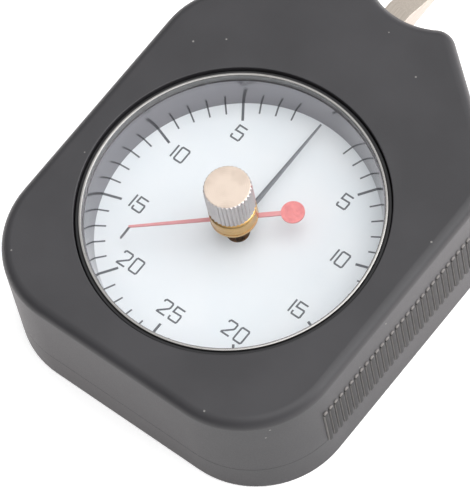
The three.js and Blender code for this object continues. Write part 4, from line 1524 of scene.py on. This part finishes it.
def leverStrip():
    have = leverSet
    low, high = span("lever_bar")
    taperEnd = have["taperStart"] + (high.z - have["stripTop"]) / math.tan(have["taperAngle"])
    end = high.y + overrun
    side = [(low.y, low.z), (end, low.z), (end, have["stripTop"]), (taperEnd, have["stripTop"]),
            (have["taperStart"], high.z), (low.y, high.z)]
    bar = loft([[(x, y, z) for y, z in side] for x in (low.x, high.x)])
    middle = (low.x + high.x) / 2
    half = have["tipWidth"] / 2
    left, right, narrow = low.x - overrun, high.x + overrun, have["narrowStart"]
    plan = [(left, low.y - overrun), (right, low.y - overrun), (right, narrow), (high.x, narrow)]
    for step in range(have["tipSteps"] + 1):
        angle = math.pi * step / have["tipSteps"]
        plan.append((middle + half * math.cos(angle), high.y - half + half * math.sin(angle)))
    plan += [(low.x, narrow), (left, narrow)]
    shaped = combine("INTERSECT", bar, prism(plan, low.z - overrun, high.z + overrun))
    makePiece("leverBar", shaped, "lever", "lever", "brushed_steel", "lever_bar",
              bevel=have["edge"])


leverStrip()
print("lever made")


# Case screws

screwSet = {
    "headRadius": 1.9,
    "headHeight": 1.6,
    "headDome": 0.25,
    "crownShare": 0.7,
    "crownDrop": 0.02,
    "crownRound": 0.6,
    "rimRound": 0.3,
    "seatRound": 0.05,
    "shankRadius": 0.95,
    "shankRound": 0.2,
    "crossWidth": 0.55,
    "crossReach": 1.15,
    "crossDepth": 0.8,
    "crossRun": 0.5,
    "widthTaper": 0.55,
    "reachTaper": 0.275,
}


def caseScrewForm(length):
    # Pan head with a cross recess, its head at the bottom
    have = screwSet
    head = have["headRadius"]
    body = lathe(roundCorners([
        (0, 0, 0),
        (head * have["crownShare"], have["crownDrop"], have["crownRound"]),
        (head, have["headDome"], have["rimRound"]),
        (head, have["headHeight"], have["seatRound"]),
        (have["shankRadius"], have["headHeight"], 0),
        (have["shankRadius"], length, have["shankRound"]),
        (0, length, 0),
    ], steps=4), sides=40)
    wide, deep = have["crossWidth"] / 2, have["crossReach"]
    mouth = (wide, deep, -have["crossRun"])
    floor = (wide * have["widthTaper"], deep * have["reachTaper"], have["crossDepth"])
    arms = [loft([[(-x, -y, z), (x, -y, z), (x, y, z), (-x, y, z)] for x, y, z in ends])
            for ends in ((mouth, floor), [(y, x, z) for x, y, z in (mouth, floor)])]
    return combine("DIFFERENCE", body, *arms)


def caseScrews():
    growth = Growth("screwTree", {"Form": "Object", "Finish": "Material"})
    form = growth.node("GeometryNodeObjectInfo", {}, {"Object": growth.take("Form")}, "Geometry")
    screws = growth.node("GeometryNodeInstanceOnPoints", {}, {
        "Points": growth.take("Geometry"),
        "Instance": form,
    })
    growth.finish(screws, growth.take("Finish"))
    low, high = span("case_screw_1")
    places = bpy.data.meshes.new("screwPlaces")
    places.from_pydata([(place.x, place.y, low.z) for place in screwPlaces], [], [])
    mesh = repeated(growth, caseScrewForm(high.z - low.z), "screw", {}, places)
    makePiece("caseScrews", mesh, "screw", "case", "dark_steel", *numbered("case_screw"))


caseScrews()
print("case screws made")


# The movement inside keeps its CAD shapes

innerFinishes = {
    # The movement's brass takes the tone that is darkened as painted shade
    "plateBrass": ["front_plate", "rear_plate", "arbor_bush_rear", "arbor_bush_front",
                   "pivot_bush_rear", "pivot_bush_front", "hairspring_stud", "sector_gear",
                   "pinion", "hairspring_collet"],
    "shaft": [*numbered("pillar"), "stop_pin_left", "stop_pin_right", "spring_post",
              "pivot_shaft", "drive_pin", "pointer_arbor"],
    "spring": ["hairspring", "centring_spring"],
    "screw": [*numbered("plate_screw"), *numbered("mount_screw"), *numbered("lever_screw", 2)],
    "lever": ["lever_hub"],
}
for finishName, nodes in innerFinishes.items():
    for node in nodes:
        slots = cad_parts[node].data.materials
        slots.clear()
        slots.append(finishes[finishName])
print("movement painted")


# Floor and world

litSide = (0.78, 0.61, 0)
floorSet = {
    "size": 6,
    "drop": 0.1,
    "grey": 0.88,
    "lift": 0.48,
    "glowColour": (1, 0.93, 0.935, 1),
    "glowSide": (0.6, -0.8, 0),
    "glowReach": 44,
    "glowFar": 0.77,
    "glowNear": 0.27,
    "dimReach": 100,
    "dimming": 0.3,
    "litNear": 20,
    "litFar": 100,
    "litGlow": 1.1,
}


def floorFinish():
    # White to the camera and to reflections, and it keeps the gauge's shadow
    have = floorSet
    finish = Finish("whiteFloor")
    grey = have["grey"]
    plain = finish.node("ShaderNodeBsdfDiffuse", {}, {"Color": (grey, grey, grey, 1)})
    seen = finish.node("ShaderNodeLightPath", {}, {}, "Is Camera Ray")
    mirrored = finish.node("ShaderNodeLightPath", {}, {}, "Is Glossy Ray")
    lift = finish.node("ShaderNodeEmission", {}, {
        "Color": (1, 1, 1, 1),
        "Strength": seen * have["lift"],
    })
    # What the walls mirror is warm, dimmer towards the camera and bright far off on the lit side
    far = finish.mapped(finish.along(finish.place, litSide),
                        have["litNear"] * mm, have["litFar"] * mm)
    near = finish.along(finish.place, have["glowSide"])
    reach = have["glowReach"] * mm
    level = finish.mapped(near, 0, reach, have["glowFar"], have["glowNear"])
    dim = finish.mapped(near, reach, have["dimReach"] * mm, 0, have["dimming"])
    glow = finish.node("ShaderNodeEmission", {}, {
        "Color": have["glowColour"],
        "Strength": mirrored * (level - dim + far * have["litGlow"]),
    })
    white = finish.node("ShaderNodeAddShader", {}, {0: plain, 1: lift})
    return finish.show(finish.node("ShaderNodeAddShader", {}, {0: white, 1: glow}))


def makeFloor():
    half = floorSet["size"] / 2
    drop = -floorSet["drop"] * mm
    mesh = bpy.data.meshes.new("floor")
    mesh.from_pydata([(-half, -half, drop), (half, -half, drop), (half, half, drop),
                      (-half, half, drop)], [], [(0, 1, 2, 3)])
    mesh.materials.append(floorFinish())
    placed("floor", mesh)


worldSet = {
    "horizonLevel": 0.68,
    "sideSlope": 0.64,
    "skyLevel": 1.0,
    "skyHeight": 0.86,
    "stripStart": 0.7,
    "stripGain": 34,
    "stripLow": 0.2,
    "stripHigh": 0.48,
}


def makeWorld():
    # Even overhead and brighter to the lit side, with a strong band of light above that
    # horizon, but white to the camera
    have = worldSet
    world = bpy.data.worlds.new("studio")
    world.use_nodes = True
    graph = Graph(world.node_tree)
    graph.tree.nodes.clear()
    place = graph.node("ShaderNodeTexCoord", {}, {}, "Generated")
    height = graph.node("ShaderNodeSeparateXYZ", {}, {"Vector": place}, "Z")
    side = graph.along(place, litSide)
    low = have["horizonLevel"] + side * have["sideSlope"]
    upwards = graph.mapped(height, 0, have["skyHeight"])
    strip = graph.mapped(side, have["stripStart"], 1,
                         0, (1 - have["stripStart"]) * have["stripGain"])
    band = graph.mapped(height, have["stripLow"], have["stripHigh"])
    level = low + upwards * upwards * (have["skyLevel"] - low) + strip * band
    seen = graph.node("ShaderNodeLightPath", {}, {}, "Is Camera Ray")
    light = graph.node("ShaderNodeBackground", {}, {
        "Color": (1, 1, 1, 1),
        "Strength": seen + (1 - seen) * level,
    })
    graph.node("ShaderNodeOutputWorld", {}, {"Surface": light})
    bpy.context.scene.world = world


makeFloor()
makeWorld()
print("scene made")
